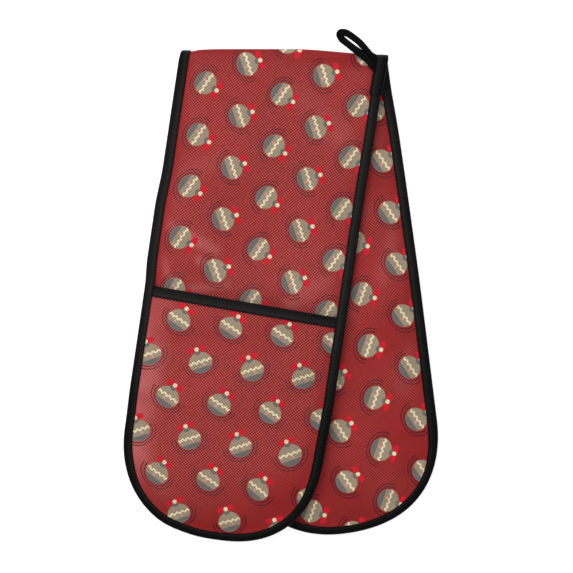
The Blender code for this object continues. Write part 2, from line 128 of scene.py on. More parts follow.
lie = {  # how unevenly the cut halves lie
    "sideReach": 60 * mm,
    "atLoop": 0.9 * mm,  # the tapes stand out at the fold's right end
    "loopReach": 34 * mm,
    "leftBulge": 1.8 * mm,
    "leftBulgeGrows": (108 * mm, 38 * mm),
    "leftBulgeFades": (190 * mm, 30 * mm),
    "leftEndIn": 0.7 * mm,
    "leftEnd": (305 * mm, 35 * mm),
    "rightIn": 0.9 * mm,
    "right": (50 * mm, 60 * mm),
    "rightEndIn": 1.6 * mm,
    "rightEnd": (290 * mm, 60 * mm),
    "tip": (330 * mm, 60 * mm),
    "frontTip": (-1.6 * mm, 4.8 * mm),  # along the half, from the tip's left to its right
    "frontTipAcross": (2 * mm, 90 * mm),
    "frontTipLeft": (22 * mm, 30 * mm),
    "rearTip": (-1.0 * mm, 0.8 * mm),
    "rearTipAcross": (15 * mm, 65 * mm),
}


def fromFold(half, s, u):
    return s - half["side"] * u * sinSplay / cosSplay


def uneven(half, s, u):
    nearEnd = grows(s, lie["tip"])
    nearFold = 1.0 - smooth(fromFold(half, s, u) / lie["loopReach"])
    u += lie["atLoop"] * smooth(u / lie["sideReach"]) * nearFold
    if half is rear:
        return s + mix(*lie["rearTip"], grows(u, lie["rearTipAcross"])) * nearEnd, u
    left, right = smooth(-u / lie["sideReach"]), smooth(u / lie["sideReach"])
    bulge = grows(s, lie["leftBulgeGrows"]) * fades(s, lie["leftBulgeFades"])
    across = left * (lie["leftEndIn"] * grows(s, lie["leftEnd"]) - lie["leftBulge"] * bulge)
    across -= right * lie["rightIn"] * grows(s, lie["right"])
    across -= right * lie["rightEndIn"] * grows(s, lie["rightEnd"])
    nearEnd *= 1.0 - grows(-u, lie["frontTipLeft"])
    return s + mix(*lie["frontTip"], grows(u, lie["frontTipAcross"])) * nearEnd, u + across


def place(half, s, u):
    s, u = uneven(half, s, u)
    u += bend(half, s)
    x = half["side"] * s * sinSplay + u * cosSplay
    y = -s * cosSplay + half["side"] * u * sinSplay
    return x + glove["foldAt"][0], y + glove["foldAt"][1]


def locate(half, x, y):
    x -= glove["foldAt"][0]
    y -= glove["foldAt"][1]
    s = half["side"] * x * sinSplay - y * cosSplay
    return s, x * cosSplay + half["side"] * y * sinSplay - bend(half, s)


def rim(half, s, u, inset=0.0):
    power = glove["endFullness"]
    across = abs(u) / (glove["width"] / 2 - inset)
    along = max(0.0, s - half["length"] + glove["endDepth"]) / (glove["endDepth"] - inset)
    return (across**power + along**power) ** (1 / power)


def fromEdge(half, s, u):
    return (1.0 - rim(half, s, u)) * glove["width"] / 2


def fromMouth(s, u):
    return s - pocketCut["mouth"] - u * pocketCut["slant"]


def stripFullness(half, s, u):
    return smooth((fromEdge(half, s, u) - tape["edgeWidth"]) / padding["stripRoll"])


def pocketFullness(half, s, u):
    sides = smooth((fromEdge(half, s, u) - pocketCut["inset"]) / padding["pocketRoll"])
    return sides * smooth((fromMouth(s, u) - tape["mouthWidth"]) / padding["pocketRoll"])


def pocketThickness(half, s, u):
    return mix(padding["pocketAtSeam"], padding["pocket"], pocketFullness(half, s, u))


def crown(half, s, u):
    return 1.0 - min(1.0, rim(half, s, u, pocketCut["inset"])) ** pocketCut["crownPower"]


def mouthZone(s, u):
    return 1.0 - smooth((fromMouth(s, u) - tape["mouthWidth"]) / padding["pocketRoll"])


def seamZone(s, u):
    return smooth((fromMouth(s, u) + glove["liftLead"]) / glove["liftLead"])


def rearBase(s, u):
    lead, reach = glove["liftLead"], glove["liftReach"]
    lift = smooth((fromMouth(s, u) + lead + reach) / reach)
    if lift == 0.0:
        return 0.0
    top = rearPocketInner(s, u) + tape["tuck"] * mouthZone(s, u) + padding["gap"]
    squeezed = tape["tuck"] * (1.0 - stripFullness(rear, s, u))
    return lift * (top + pocketCut["rearCavity"] * crown(rear, s, u) - squeezed)


def frontBase(s, u):
    x, y = place(front, s, u)
    underS, underU = locate(rear, x, y)
    past = max(0.0, -fromEdge(rear, underS, underU))
    top = rearBase(underS, underU) + padding["strip"] + glove["clearance"]
    draped = top * (1.0 - smooth(past / glove["droop"]))
    atFold = glove["foldHeight"] + glove["foldRadius"]
    return mix(atFold, draped, smooth((glove["foldAt"][1] - y) / glove["relax"]))


def base(half, s, u):
    return frontBase(s, u) if half is front else rearBase(s, u)


def stripLow(half, s, u):
    return base(half, s, u) + tape["tuck"] * (1.0 - stripFullness(half, s, u))


def stripHigh(half, s, u):
    return base(half, s, u) + padding["strip"] - tape["tuck"] * (1.0 - stripFullness(half, s, u))


def rearPocketOuter(s, u):
    return tape["tuck"] * (1.0 - pocketFullness(rear, s, u))


def rearPocketInner(s, u):
    return rearPocketOuter(s, u) + pocketThickness(rear, s, u)


def frontPocketInner(s, u):
    stand = tape["tuck"] * mouthZone(s, u) + pocketCut["frontCavity"] * crown(front, s, u)
    return stripHigh(front, s, u) + padding["gap"] + stand


def frontPocketOuter(s, u):
    return frontPocketInner(s, u) + pocketThickness(front, s, u)


rideUp = {"height": 0.9 * mm, "grows": (-5 * mm, 5 * mm), "fades": (9 * mm, 5 * mm)}


def overMouthTape(s, u):  # the edge tape rides up where it crosses the pocket's own tape
    away = fromMouth(s, u)
    return rideUp["height"] * grows(away, rideUp["grows"]) * fades(away, rideUp["fades"])


def edgeTapeLow(half, s, u):
    low = base(half, s, u)
    return low if half is front else low * (1.0 - seamZone(s, u))


def edgeTapeHigh(half, s, u):
    high = base(half, s, u) + padding["strip"]
    if half is front:
        seam = padding["gap"] + padding["pocketAtSeam"] + tape["tuck"] * mouthZone(s, u)
        high += seam * seamZone(s, u) + overMouthTape(s, u)
    return high


# A row runs across the half: b is 0 at the first row and 1 at the round end's tip, a is -1 to 1 across
def rowAt(half, b, first=0.0):
    endStart = half["length"] - glove["endDepth"]
    straight = endStart - first
    split = straight / (straight + glove["endRun"])
    if b >= split:
        return endStart, 0.0, math.pi / 2 * (b - split) / (1 - split)
    s = mix(first, endStart, b / split)
    mouth = pocketCut["mouth"]
    if s < mouth:
        atFold = half["side"] * math.tan(glove["splay"])
        return s, mix(atFold, pocketCut["slant"], min(1.0, s / (mouth - glove["liftLead"]))), 0.0
    return s, pocketCut["slant"] * (1.0 - (s - mouth) / (endStart - mouth)), 0.0


def onRow(row, a, inset):
    s, slant, turn = row
    power = 2 / glove["endFullness"]
    u = 0.0 if turn > math.pi / 2 - 1e-6 else a * (glove["width"] / 2 - inset) * math.cos(turn) ** power
    return s + slant * u + (glove["endDepth"] - inset) * math.sin(turn) ** power, u


# Meshes

merge = {"points": 0.004 * mm, "slivers": 0.002 * mm}


def addObject(name, data):
    made = bpy.data.objects.new(name, data)
    bpy.context.scene.collection.objects.link(made)
    return made


def newPiece(name, bm, looks, sharp=45):
    bmesh.ops.remove_doubles(bm, verts=bm.verts, dist=merge["points"])
    bmesh.ops.dissolve_degenerate(bm, edges=bm.edges, dist=merge["slivers"])
    bmesh.ops.recalc_face_normals(bm, faces=bm.faces)
    mesh = bpy.data.meshes.new(name)
    bm.to_mesh(mesh)
    bm.free()
    for look in looks:
        mesh.materials.append(look)
    mesh.shade_smooth()
    mesh.set_sharp_from_angle(angle=math.radians(sharp))
    return addObject(name, mesh)


def gridOrder(item):
    corners = [item] if isinstance(item, bmesh.types.BMVert) else item.verts
    middle = sum((vert.co for vert in corners), Vector()) / len(corners)
    return (middle.z * 2 + middle.y) * 1000 + middle.x


# A closed slab: a grid is drawn out to a second face, and every point then goes where put(a, b, level) says.
# put gives the place, the print's (x, y) in metres, how strongly the weave shows, how much highlight is
# painted on the print and how free the cloth is to move
def slab(bm, across, along, put, innerLook=0):
    bmesh.ops.create_grid(bm, x_segments=across, y_segments=along, size=0.5)
    made = bmesh.ops.extrude_face_region(bm, geom=bm.faces[:])
    raised = [item for item in made["geom"] if isinstance(item, bmesh.types.BMVert)]
    bmesh.ops.translate(bm, verts=raised, vec=(0, 0, 1))
    for items in (bm.verts, bm.edges, bm.faces):  # the cloth then swells in the same way each time
        items.sort(key=gridOrder)
    weave = bm.verts.layers.float.new("weave")
    paintedLightAndWear = bm.verts.layers.float.new("paintedLightAndWear")
    free = bm.verts.layers.float.new("free")
    cloth = bm.loops.layers.uv.new("print")
    for face in bm.faces:
        if all(vert.co.z < 0.5 for vert in face.verts):
            face.material_index = innerLook
    where = {}
    for vert in bm.verts:
        at = vert.co
        vert.co, where[vert], vert[weave], vert[paintedLightAndWear], vert[free] = put(2 * at.x, at.y + 0.5, at.z)
    for face in bm.faces:
        for loop in face.loops:
            loop[cloth].uv = where[loop.vert]


# A tape or band through rings of points: a grid rolled up along them, closed along its seam and at its ends.
# Its map is (round the section, along the rings) in metres, and its last argument gives how much sheen is
# painted on each point of the section
def band(bm, rings, sheenAround=None):
    around = len(rings[0])
    cloth = bm.loops.layers.uv.new("print")
    paintedSheen = bm.verts.layers.float.new("paintedSheen")
    made = bmesh.ops.create_grid(bm, x_segments=around, y_segments=len(rings) - 1, size=0.5)
    girth = [0.0]
    middle = rings[len(rings) // 2]
    for i in range(around):
        girth.append(girth[-1] + (Vector(middle[(i + 1) % around]) - Vector(middle[i])).length)
    run = [0.0]
    for before, after in zip(rings, rings[1:]):
        run.append(run[-1] + (Vector(after[0]) - Vector(before[0])).length)
    where, points = {}, {}
    for vert in made["verts"]:
        i = round((vert.co.x + 0.5) * around)
        j = round((vert.co.y + 0.5) * (len(rings) - 1))
        if sheenAround:
            vert[paintedSheen] = sheenAround[i % around]
        where[vert] = (girth[i], run[j])
        points[vert] = rings[j][i % around]
    for face in {face for vert in made["verts"] for face in vert.link_faces}:
        for loop in face.loops:
            loop[cloth].uv = where[loop.vert]
    for vert, point in points.items():
        vert.co = point
    bmesh.ops.remove_doubles(bm, verts=made["verts"], dist=merge["slivers"])
    ends = [edge for edge in bm.edges if len(edge.link_faces) == 1]
    bmesh.ops.holes_fill(bm, edges=ends, sides=0)


# Shaders

class Wire:  # a shader socket that takes part in sums
    def __init__(self, finish, socket):
        self.finish, self.socket = finish, socket

    def __add__(self, other):
        return self.finish.sum("ADD", self, other)

    def __sub__(self, other):
        return self.finish.sum("SUBTRACT", self, other)

    def __rsub__(self, other):
        return self.finish.sum("SUBTRACT", other, self)

    def __mul__(self, other):
        return self.finish.sum("MULTIPLY", self, other)

    def __truediv__(self, other):
        return self.finish.sum("DIVIDE", self, other)

    def __pow__(self, other):
        return self.finish.sum("POWER", self, other)

    __radd__ = __add__
    __rmul__ = __mul__


class Finish:  # one material, or the world, and the nodes that make it
    def __init__(self, name, world=None):
        self.material = world or bpy.data.materials.new(name)
        self.material.use_nodes = True
        self.tree = self.material.node_tree
        self.surface = self.tree.nodes["Background" if world else "Principled BSDF"]

    def node(self, kind, settings=None, sockets=None, out=0):
        made = self.tree.nodes.new(kind)
        for name, value in (settings or {}).items():
            setattr(made, name, value)
        for key, value in (sockets or {}).items():
            if isinstance(value, Wire):
                self.tree.links.new(value.socket, made.inputs[key])
            else:
                made.inputs[key].default_value = value
        return Wire(self, made.outputs[out])

    def sum(self, operation, *values):
        return self.node("ShaderNodeMath", {"operation": operation}, dict(enumerate(values)))

    def between(self, value, low, high):  # 0 below low and 1 above high, or the other way round
        settings = {"interpolation_type": "SMOOTHSTEP"}
        return self.node("ShaderNodeMapRange", settings, {"Value": value, "From Min": low, "From Max": high})

    def over(self, mask, below, above):
        return self.node("ShaderNodeMix", {"data_type": "RGBA"}, {0: mask, 6: below, 7: above}, out=2)

    def printed(self):  # the piece's own map, in millimetres
        at = self.node("ShaderNodeUVMap", {"uv_map": "print"})
        split = self.node("ShaderNodeSeparateXYZ", sockets={0: at})
        return split * 1000, Wire(self, split.socket.node.outputs[1]) * 1000

    def cloud(self, size, detail, seed=0.0):  # soft noise, 0 to 1, whose spots are about size metres across
        at = self.node("ShaderNodeTexCoord", out=3)
        moved = self.node("ShaderNodeVectorMath", {"operation": "ADD"}, {0: at, 1: (seed, seed * 0.7, 0.0)})
        return self.node("ShaderNodeTexNoise", sockets={"Vector": moved, "Scale": 1 / size, "Detail": detail})

    def at(self, axis):  # how far along an axis of the glove, in metres
        place = self.node("ShaderNodeTexCoord", out=3)
        return self.node("ShaderNodeSeparateXYZ", sockets={0: place}, out=axis)

    def stored(self, name):  # what the mesh keeps under this name, 0 to 1
        return self.node("ShaderNodeAttribute", {"attribute_name": name}, out=2)

    def bumped(self, height, strength, distance):
        sockets = {"Strength": strength, "Distance": distance, "Height": height}
        return self.node("ShaderNodeBump", sockets=sockets)

    def feed(self, **sockets):
        for name, value in sockets.items():
            fed = {"colour": "Base Color", "roughness": "Roughness", "normal": "Normal"}[name]
            self.tree.links.new(value.socket, self.surface.inputs[fed])

    def constant(self, **sockets):
        for name, value in sockets.items():
            self.surface.inputs[name.replace("_", " ")].default_value = value


def srgb(red, green, blue):
    parts = [value / 255 for value in (red, green, blue)]
    return (*[p / 12.92 if p <= 0.04045 else ((p + 0.055) / 1.055) ** 2.4 for p in parts], 1.0)


ornament = {  # the print, in its own millimetres; an oval is its middle, half sizes and soft edge
    "columnGap": 46.0,
    "rowGap": 34.0,
    "shift": (9.0, 11.5),
    "tilt": 0.45,
    "ball": (0, -2, 10.2, 9.18, 0.06),
    "cap": (0, 7.2, 2.9, 2.3, 0.12),
    "bow": ((-4.2, 10.1, 4.0, 2.5, 0.1), (4.2, 10.1, 4.0, 2.5, 0.1)),
    "knot": (0, 9.9, 1.9, 1.9, 0.15),
    "spot": (2.2, -4.2, 1.3, 1.3, 0.3),
    "arcs": ((12.6, 0.6), (15.6, 0.6)),  # radius and half the line's width
    "arcsUpTo": (2.0, -0.5),
    "wave": (1.2, 1.3, 0.7),  # how far below the middle, how tight and how high
    "stripe": (1.15, 0.85),
    "foot": (-6.2, -6.8),
    "body": srgb(160, 143, 122),
    "shade": srgb(108, 107, 103),
    "bright": srgb(206, 28, 44),
    "cream": srgb(236, 221, 182),
    "blush": srgb(212, 150, 140),
    "line": srgb(78, 14, 24),
}
clothWeave = {  # the printed cloth's ground and yarns
    "ground": srgb(150, 31, 33),
    "groundDeepAndFoldShade": srgb(139, 28, 30),
    "groundPatch": 50 * mm,
    "paintedFoldShadeFrom": (0.205, 0.18),  # painted shade on the ground from here up to the fold, in metres along the glove
    "paintedHighlight": srgb(222, 132, 132),
    "paintedHighlightStrength": 0.3,
    "paintedShadowStrength": 0.16,  # painted shadow: the rear half is a little darker beside the front half's upper end
    "paintedShadowFrom": ((0.078, 0.086), (0.02, 0.13)),  # metres across and along the glove
    "fleck": srgb(240, 136, 130),
    "fleckPitch": 1.94,  # in the print's millimetres
    "fleckStrength": 0.38,
    "gapStrength": 0.95,
    "gapShade": (0.32, 0.3, 0.3, 1.0),
    "wander": 7 * mm,
    "wanderStrength": 2.2,
    "yarn": 2.4 * mm,
    "fuzz": 1.6 * mm,
    "bump": (0.35, 0.4 * mm),
}


def printedCloth(name):
    paint = Finish(name)
    x, y = paint.printed()
    x, y = x + ornament["shift"][0], y + ornament["shift"][1]
    row = paint.sum("FLOOR", y / ornament["rowGap"])
    halfDrop = row * 0.5 - paint.sum("FLOOR", row * 0.5)  # 0 or 0.5
    column = x / ornament["columnGap"] + halfDrop
    acrossCell = (column - paint.sum("FLOOR", column) - 0.5) * ornament["columnGap"]
    upCell = (y / ornament["rowGap"] - row - 0.5) * ornament["rowGap"]
    acrossCell = acrossCell * (1 - halfDrop * 4)  # every other row is mirrored
    c, s = math.cos(ornament["tilt"]), math.sin(ornament["tilt"])
    px = acrossCell * c + upCell * s
    py = upCell * c - acrossCell * s - 0.5

    def oval(cx, cy, rx, ry, edge):
        away = ((px - cx) / rx) ** 2 + ((py - cy) / ry) ** 2
        return paint.between(paint.sum("SQRT", away), 1 + edge, 1 - edge)

    def arc(radius, width):
        away = paint.sum("SQRT", px * px + (py + 2) * (py + 2) * 1.5)
        line = paint.between(paint.sum("ABSOLUTE", away - radius), width + 0.25, width - 0.25)
        return line * paint.between(py, *ornament["arcsUpTo"])

    ball, cap, knot = (oval(*ornament[part]) for part in ("ball", "cap", "knot"))
    bow = paint.sum("MAXIMUM", *[oval(*half) for half in ornament["bow"]])
    arcs = paint.sum("MAXIMUM", *[arc(*line) for line in ornament["arcs"]])
    low, tight, high = ornament["wave"]
    wave = py + low + paint.sum("SINE", px * tight) * high
    stripe = paint.between(paint.sum("ABSOLUTE", wave), *ornament["stripe"]) * ball
    foot = paint.between(py, *ornament["foot"]) * ball
    spot = oval(*ornament["spot"]) * ball

    # the weave is a fine lattice at 45 degrees to the strip
    turn = math.tau / clothWeave["fleckPitch"] * math.sqrt(0.5)
    wander = paint.cloud(clothWeave["wander"], 2.0, 6.3) * clothWeave["wanderStrength"]
    one = paint.sum("SINE", (x + y) * turn + wander)
    other = paint.sum("SINE", (x - y) * turn - wander * 0.8)
    lattice = (one + other) * 0.25 + 0.5
    yarn = paint.cloud(clothWeave["yarn"], 1.0, 9.1) * 1.4 + 0.3  # no two yarns are alike
    shows, paintedLightAndWear = paint.stored("weave"), paint.stored("paintedLightAndWear")
    fleck = paint.between(lattice, 0.35, 0.95) * shows * yarn * clothWeave["fleckStrength"]
    gap = paint.between(lattice, 0.5, 0.05) * shows * clothWeave["gapStrength"]

    patchy = paint.cloud(clothWeave["groundPatch"], 3.0)
    # the ground is deeper in random patches, and all over near the fold as painted shade
    pale = paint.between(patchy, 0.35, 0.7) * paint.between(paint.at(1), *clothWeave["paintedFoldShadeFrom"])
    # painted shadow of the front half's upper end on the rear half
    across, along = clothWeave["paintedShadowFrom"]
    paintedShadowMask = paint.between(paint.at(0), *across) * paint.between(paint.at(1), *along)
    colour = paint.over(pale, clothWeave["groundDeepAndFoldShade"], clothWeave["ground"])
    # painted highlight: the print is lighter on soft folds and along the pocket's left side
    for mask, ink in (
        (paintedLightAndWear * clothWeave["paintedHighlightStrength"], clothWeave["paintedHighlight"]),
        (paintedShadowMask * clothWeave["paintedShadowStrength"], ornament["line"]),
        (arcs, ornament["line"]),
        (fleck, clothWeave["fleck"]),
        (ball, ornament["body"]),
        (foot, ornament["shade"]),
        (spot, ornament["blush"]),
        (stripe, ornament["cream"]),
        (cap, ornament["shade"]),
        (bow, ornament["bright"]),
        (knot, ornament["cream"]),
    ):
        colour = paint.over(mask, colour, ink)
    dark = paint.node("ShaderNodeMix", {"data_type": "RGBA", "blend_type": "MULTIPLY"},
                      {0: gap, 6: colour, 7: clothWeave["gapShade"]}, out=2)

    fuzz = paint.cloud(clothWeave["fuzz"], 2.0, 3.1)
    bump = paint.bumped(lattice * (shows * 0.7 + 0.3) + fuzz * 0.5, *clothWeave["bump"])
    paint.feed(colour=dark, roughness=fuzz * 0.12 + 0.58, normal=bump)
    paint.constant(Specular_IOR_Level=0.14)
    return paint.material


lining = {
    "pitch": 0.9,  # of its yarns, in millimetres
    "slub": 6 * mm,
    "colours": (srgb(201, 190, 168), srgb(226, 217, 198)),
    "bump": (0.35, 0.3 * mm),
}


def liningCloth():
    paint = Finish("lining")
    x, y = paint.printed()
    warp = paint.sum("SINE", x * (math.tau / lining["pitch"])) * 0.5 + 0.5
    weft = paint.sum("SINE", y * (math.tau / lining["pitch"])) * 0.5 + 0.5
    slub = paint.cloud(lining["slub"], 3.0, 1.7)
    colour = paint.over(slub * 0.6 + warp * weft * 0.2, *lining["colours"])
    bump = paint.bumped(warp * weft + slub * 0.6, *lining["bump"])
    paint.feed(colour=colour, roughness=slub * 0.1 + 0.8, normal=bump)
    paint.constant(Specular_IOR_Level=0.25, Sheen_Weight=0.1)
    return paint.material


tapeFinish = {
    "ribs": 0.75,  # millimetres from one to the next
    "threads": 0.6,
    "dust": 4 * mm,
    "soft": 30 * mm,
    "sheenColour": srgb(50, 47, 47),
    "bump": (0.4, 0.3 * mm),
    "brightAlong": (-0.14, 0.0),  # painted light: where the light catches it, in metres along the glove
    "dimAtFold": (0.205, 0.13),
    "brightAcross": (0.13, 0.08),
}


def blackTape(name, colour, paintedLightAndWear):
    paint = Finish(name)
    x, y = paint.printed()
    ribs = paint.sum("SINE", (y + x * 0.35) * (math.tau / tapeFinish["ribs"])) * 0.5 + 0.5
    threads = paint.sum("SINE", x * (math.tau / tapeFinish["threads"])) * 0.5 + 0.5
    dust = paint.cloud(tapeFinish["dust"], 3.0, 5.2)
    soft = paint.cloud(tapeFinish["soft"], 2.0, 8.4)
    # painted light: the tape is lighter up the glove, less so towards the right and near the fold
    paintedLight = paint.between(paint.at(1), *tapeFinish["brightAlong"])
    paintedLight = paintedLight * (paint.between(paint.at(0), *tapeFinish["brightAcross"]) * 0.6 + 0.4)
    paintedLight = paintedLight * (paint.between(paint.at(1), *tapeFinish["dimAtFold"]) * 0.45 + 0.55)
    # rubbed dust and ribs, stronger where light is painted on
    rubbedAndLit = (paint.between(dust, 0.35, 0.75) * 0.5 + ribs * 0.25) * (paintedLight * 0.6 + 0.4)
    shade = paint.over(rubbedAndLit, colour, paintedLightAndWear)
    # random soft patches, stronger where light is painted on
    shade = paint.over(paint.between(soft, 0.4, 0.7) * 0.3 * (paintedLight * 0.7 + 0.3), shade, paintedLightAndWear)
    # painted light up the glove
    shade = paint.over(paintedLight * 0.55, shade, paintedLightAndWear)
    # painted sheen: a lighter line beside the stitches
    paintedSheenMask = paint.stored("paintedSheen") * (dust * 0.5 + 0.5) * (paintedLight * 0.5 + 0.3)
    shade = paint.over(paintedSheenMask, shade, tapeFinish["sheenColour"])
    bump = paint.bumped(ribs * 0.8 + threads * 0.4 + dust * 0.5, *tapeFinish["bump"])
    paint.feed(colour=shade, roughness=dust * 0.2 + 0.38, normal=bump)
    paint.constant(Specular_IOR_Level=0.03)
    return paint.material


def sewingThread():
    paint = Finish("sewingThread")
    twistSize = 0.8 * mm
    twist = paint.cloud(twistSize, 1.0, 2.2)
    paint.feed(colour=paint.over(twist, srgb(8, 8, 8), srgb(26, 26, 26)), roughness=twist * 0.2 + 0.35)
    paint.constant(Specular_IOR_Level=0.3)
    return paint.material


clothLook = printedCloth("printedCloth")
liningLook = liningCloth()
# the loop and the tape's end take a copy of the tape whose colour for painted light and wear is darker
tapeLook = blackTape("blackTape", srgb(2, 2, 2), srgb(26, 24, 24))
loopLook = blackTape("loopTape", srgb(2, 2, 2), srgb(12, 12, 12))
threadLook = sewingThread()
print("finishes: cloth, lining, tape and thread")

# Padding of the strip

foldCloth = math.pi * (glove["foldRadius"] + padding["strip"])  # the outer cloth's length over the fold
foldInside = math.pi * glove["foldRadius"]  # and the inner cloth's

stripPad = {
    "columns": 60,
    "rows": 160,
    "freeFromTape": (0.4 * mm, 14 * mm),  # where the cloth is free of its seams
    "freeFromFold": (4 * mm, 18 * mm),
    "weaveFromFold": (-8 * mm, 15 * mm),  # where the weave's flecks come in
    "weaveAtLoop": 8.5 * mm,  # and this much further at the loop
    "weaveFromTape": (1 * mm, 8 * mm),
    "weaveAtTape": 0.35,
    "patch": 55 * mm,
    "rearWorn": (230 * mm, 120 * mm),
    "rearWeaveLeft": 0.55,
    "foldedFull": 1.2 * mm,  # painted highlight on soft folds, full from this height
    "paintedHighlightMost": 1.3,
    "waves": ((38 * mm, 0.35 * mm), (16 * mm, 0.2 * mm)),
}
# soft folds, in millimetres: (s, u) at both ends, half their width, their height
frontFolds = [
    ((160, -82), (176, -33), 9, 1.8),
    ((187, -44), (194, -28), 7, 1.0),
    ((186, -82), (212, -64), 7, 1.5),
    ((199, -66), (202, -40), 7, -1.2),
    ((213, -48), (205, -18), 6, 0.9),
    ((212, 40), (190, 66), 12, 0.8),
    ((120, -78), (96, -40), 14, 0.5),
    ((60, 60), (30, 20), 18, 0.5),
]
rearFolds = [
    ((150, 84), (205, 58), 12, 0.7),
    ((262, 86), (300, 64), 12, 0.7),
    ((60, 84), (96, 66), 10, 0.6),
]


def foldedHeight(folds, s, u):
    total = 0.0
    here = Vector((s, u)) / mm
    for start, end, reach, height in folds:
        start, end = Vector(start), Vector(end)
        run = end - start
        share = min(1.0, max(0.0, (here - start).dot(run) / run.length_squared))
        away = (here - start - run * share).length / reach
        if away < 1.0:
            total += height * mm * (1 - away * away) ** 2 * (1 - 0.5 * share)
    return total


def ripple(x, y, size, seed):
    return noise.noise(Vector((x / size, y / size, seed)))


def waves(sizes, x, y, seed):
    return sum(height * ripple(x, y, size, seed + i * 3.7) for i, (size, height) in enumerate(sizes))


def insideTape(half, s, u):
    return fromEdge(half, s, u) - tape["edgeWidth"]


def weaveShows(half, s, u, most, least):
    # the weave is worn smooth near the fold, beside the tapes and in soft patches
    past = fromFold(half, s, u) - stripPad["weaveAtLoop"] * smooth(u / lie["sideReach"])
    besideTape = mix(stripPad["weaveAtTape"], 1.0, grows(insideTape(half, s, u), stripPad["weaveFromTape"]))
    shows = grows(past, stripPad["weaveFromFold"]) * besideTape
    if half is rear:
        shows *= mix(1.0, stripPad["rearWeaveLeft"], grows(s, stripPad["rearWorn"]))
    x, y = place(half, s, u)
    return shows * mix(least, most, smooth(0.5 + 1.3 * ripple(x, y, stripPad["patch"], 4.0 + half["side"])))


def stripPadding(name, half, folds, weave):
    def put(a, b, level):
        s, u = onRow(rowAt(half, b), a, tape["tuck"])
        x, y = place(half, s, u)
        free = grows(insideTape(half, s, u), stripPad["freeFromTape"])
        free *= grows(fromFold(half, s, u), stripPad["freeFromFold"])
        wave = free * waves(stripPad["waves"], x, y, level)
        paintedHighlight = 0.0
        if level > 0.5:
            folded = foldedHeight(folds, s, u)
            z = stripHigh(half, s, u) + wave + free * folded
            # painted highlight where the cloth is folded up
            paintedHighlight = free * min(stripPad["paintedHighlightMost"], max(0.0, folded / stripPad["foldedFull"]))
        else:
            z = max(0.0, stripLow(half, s, u) + wave)
        inside = (level < 0.5) == (half is front)
        along = -s if half is front else s + (foldInside if inside else foldCloth)
        return (x, y, z), (along, u), weaveShows(half, s, u, *weave), paintedHighlight, free

    bm = bmesh.new()
    slab(bm, stripPad["columns"], stripPad["rows"], put)
    return newPiece(name, bm, [clothLook])


frontStrip = stripPadding("frontStrip", front, frontFolds, (1.0, 0.75))
rearStrip = stripPadding("rearStrip", rear, rearFolds, (0.8, 0.25))
print("strip: front and rear padding")

# Pockets: printed cloth outside, plain lining inside

pocketPad = {
    "columns": 56,
    "rows": 84,
    "waves": ((42 * mm, 0.4 * mm), (18 * mm, 0.2 * mm)),
    "freeFromMouth": 12 * mm,
    "printFrom": 14.5 * mm,
    "weaveAtTip": 0.12,
    "weaveUpTo": 425 * mm,  # and less far on the right
    "weaveLean": 0.4,
    "weaveRight": (30 * mm, 30 * mm),
    "weaveRightBack": 20 * mm,
    "weaveFades": 55 * mm,
    "paintedHighlightReach": 26 * mm,  # painted highlight on the print this far in from the left edge tape
    "paintedHighlightFromTip": (20 * mm, 60 * mm),
    "paintedHighlightMore": (225 * mm, 35 * mm),
    "paintedHighlightGain": (1.2, 1.5),
    "paintedHighlightPatch": 17 * mm,
}


def pocketPadding(name, half, inner, outer, weave):
    def put(a, b, level):
        s, u = onRow(rowAt(half, b, pocketCut["mouth"]), a, tape["tuck"])
        x, y = place(half, s, u)
        free = grows(insideTape(half, s, u), stripPad["freeFromTape"])
        free *= grows(fromMouth(s, u), (tape["mouthWidth"], pocketPad["freeFromMouth"]))
        wave = 0.0 if half is rear and level > 0.5 else free * waves(pocketPad["waves"], x, y, 11 + level)
        z = max(0.0, (outer if level > 0.5 else inner)(s, u) + wave)
        smoothFrom = pocketPad["weaveUpTo"] - pocketPad["weaveLean"] * u
        smoothFrom -= pocketPad["weaveRightBack"] * grows(u, pocketPad["weaveRight"])
        woven = mix(pocketPad["weaveAtTip"], 1.0, smooth((smoothFrom - s) / pocketPad["weaveFades"]))
        paintedHighlight = 0.0
        # painted highlight along the pocket's left side
        if u < 0 and level > 0.5:
            paintedHighlight = smooth(1.0 - insideTape(half, s, u) / pocketPad["paintedHighlightReach"])
            paintedHighlight *= grows(half["length"] - s, pocketPad["paintedHighlightFromTip"])
            paintedHighlight *= mix(*pocketPad["paintedHighlightGain"], grows(s, pocketPad["paintedHighlightMore"]))
            paintedHighlight *= 0.8 + 0.7 * ripple(x, y, pocketPad["paintedHighlightPatch"], 5.5)
        printAt = (u, half["length"] - s - pocketPad["printFrom"])
        return (x, y, z), printAt, weaveShows(half, s, u, *weave) * woven, paintedHighlight, free

    bm = bmesh.new()
    slab(bm, pocketPad["columns"], pocketPad["rows"], put, innerLook=1)
    return newPiece(name, bm, [clothLook, liningLook])


frontPocket = pocketPadding("frontPocket", front, frontPocketInner, frontPocketOuter, (1.0, 0.75))
rearPocket = pocketPadding("rearPocket", rear, rearPocketInner, rearPocketOuter, (0.8, 0.5))
print("pockets: front and rear padding")

# The padding swells between its seams, and the cloth on it puckers

swelling = {
    "pressure": 4.0,
    "spareCloth": 0.012,
    "frames": 20,
    "reach": 0.65 * mm,
    "quality": 5,
    "mass": 0.15,
    "bending": 0.8,
    "pinned": 0.002,  # less free than this is sewn down
}


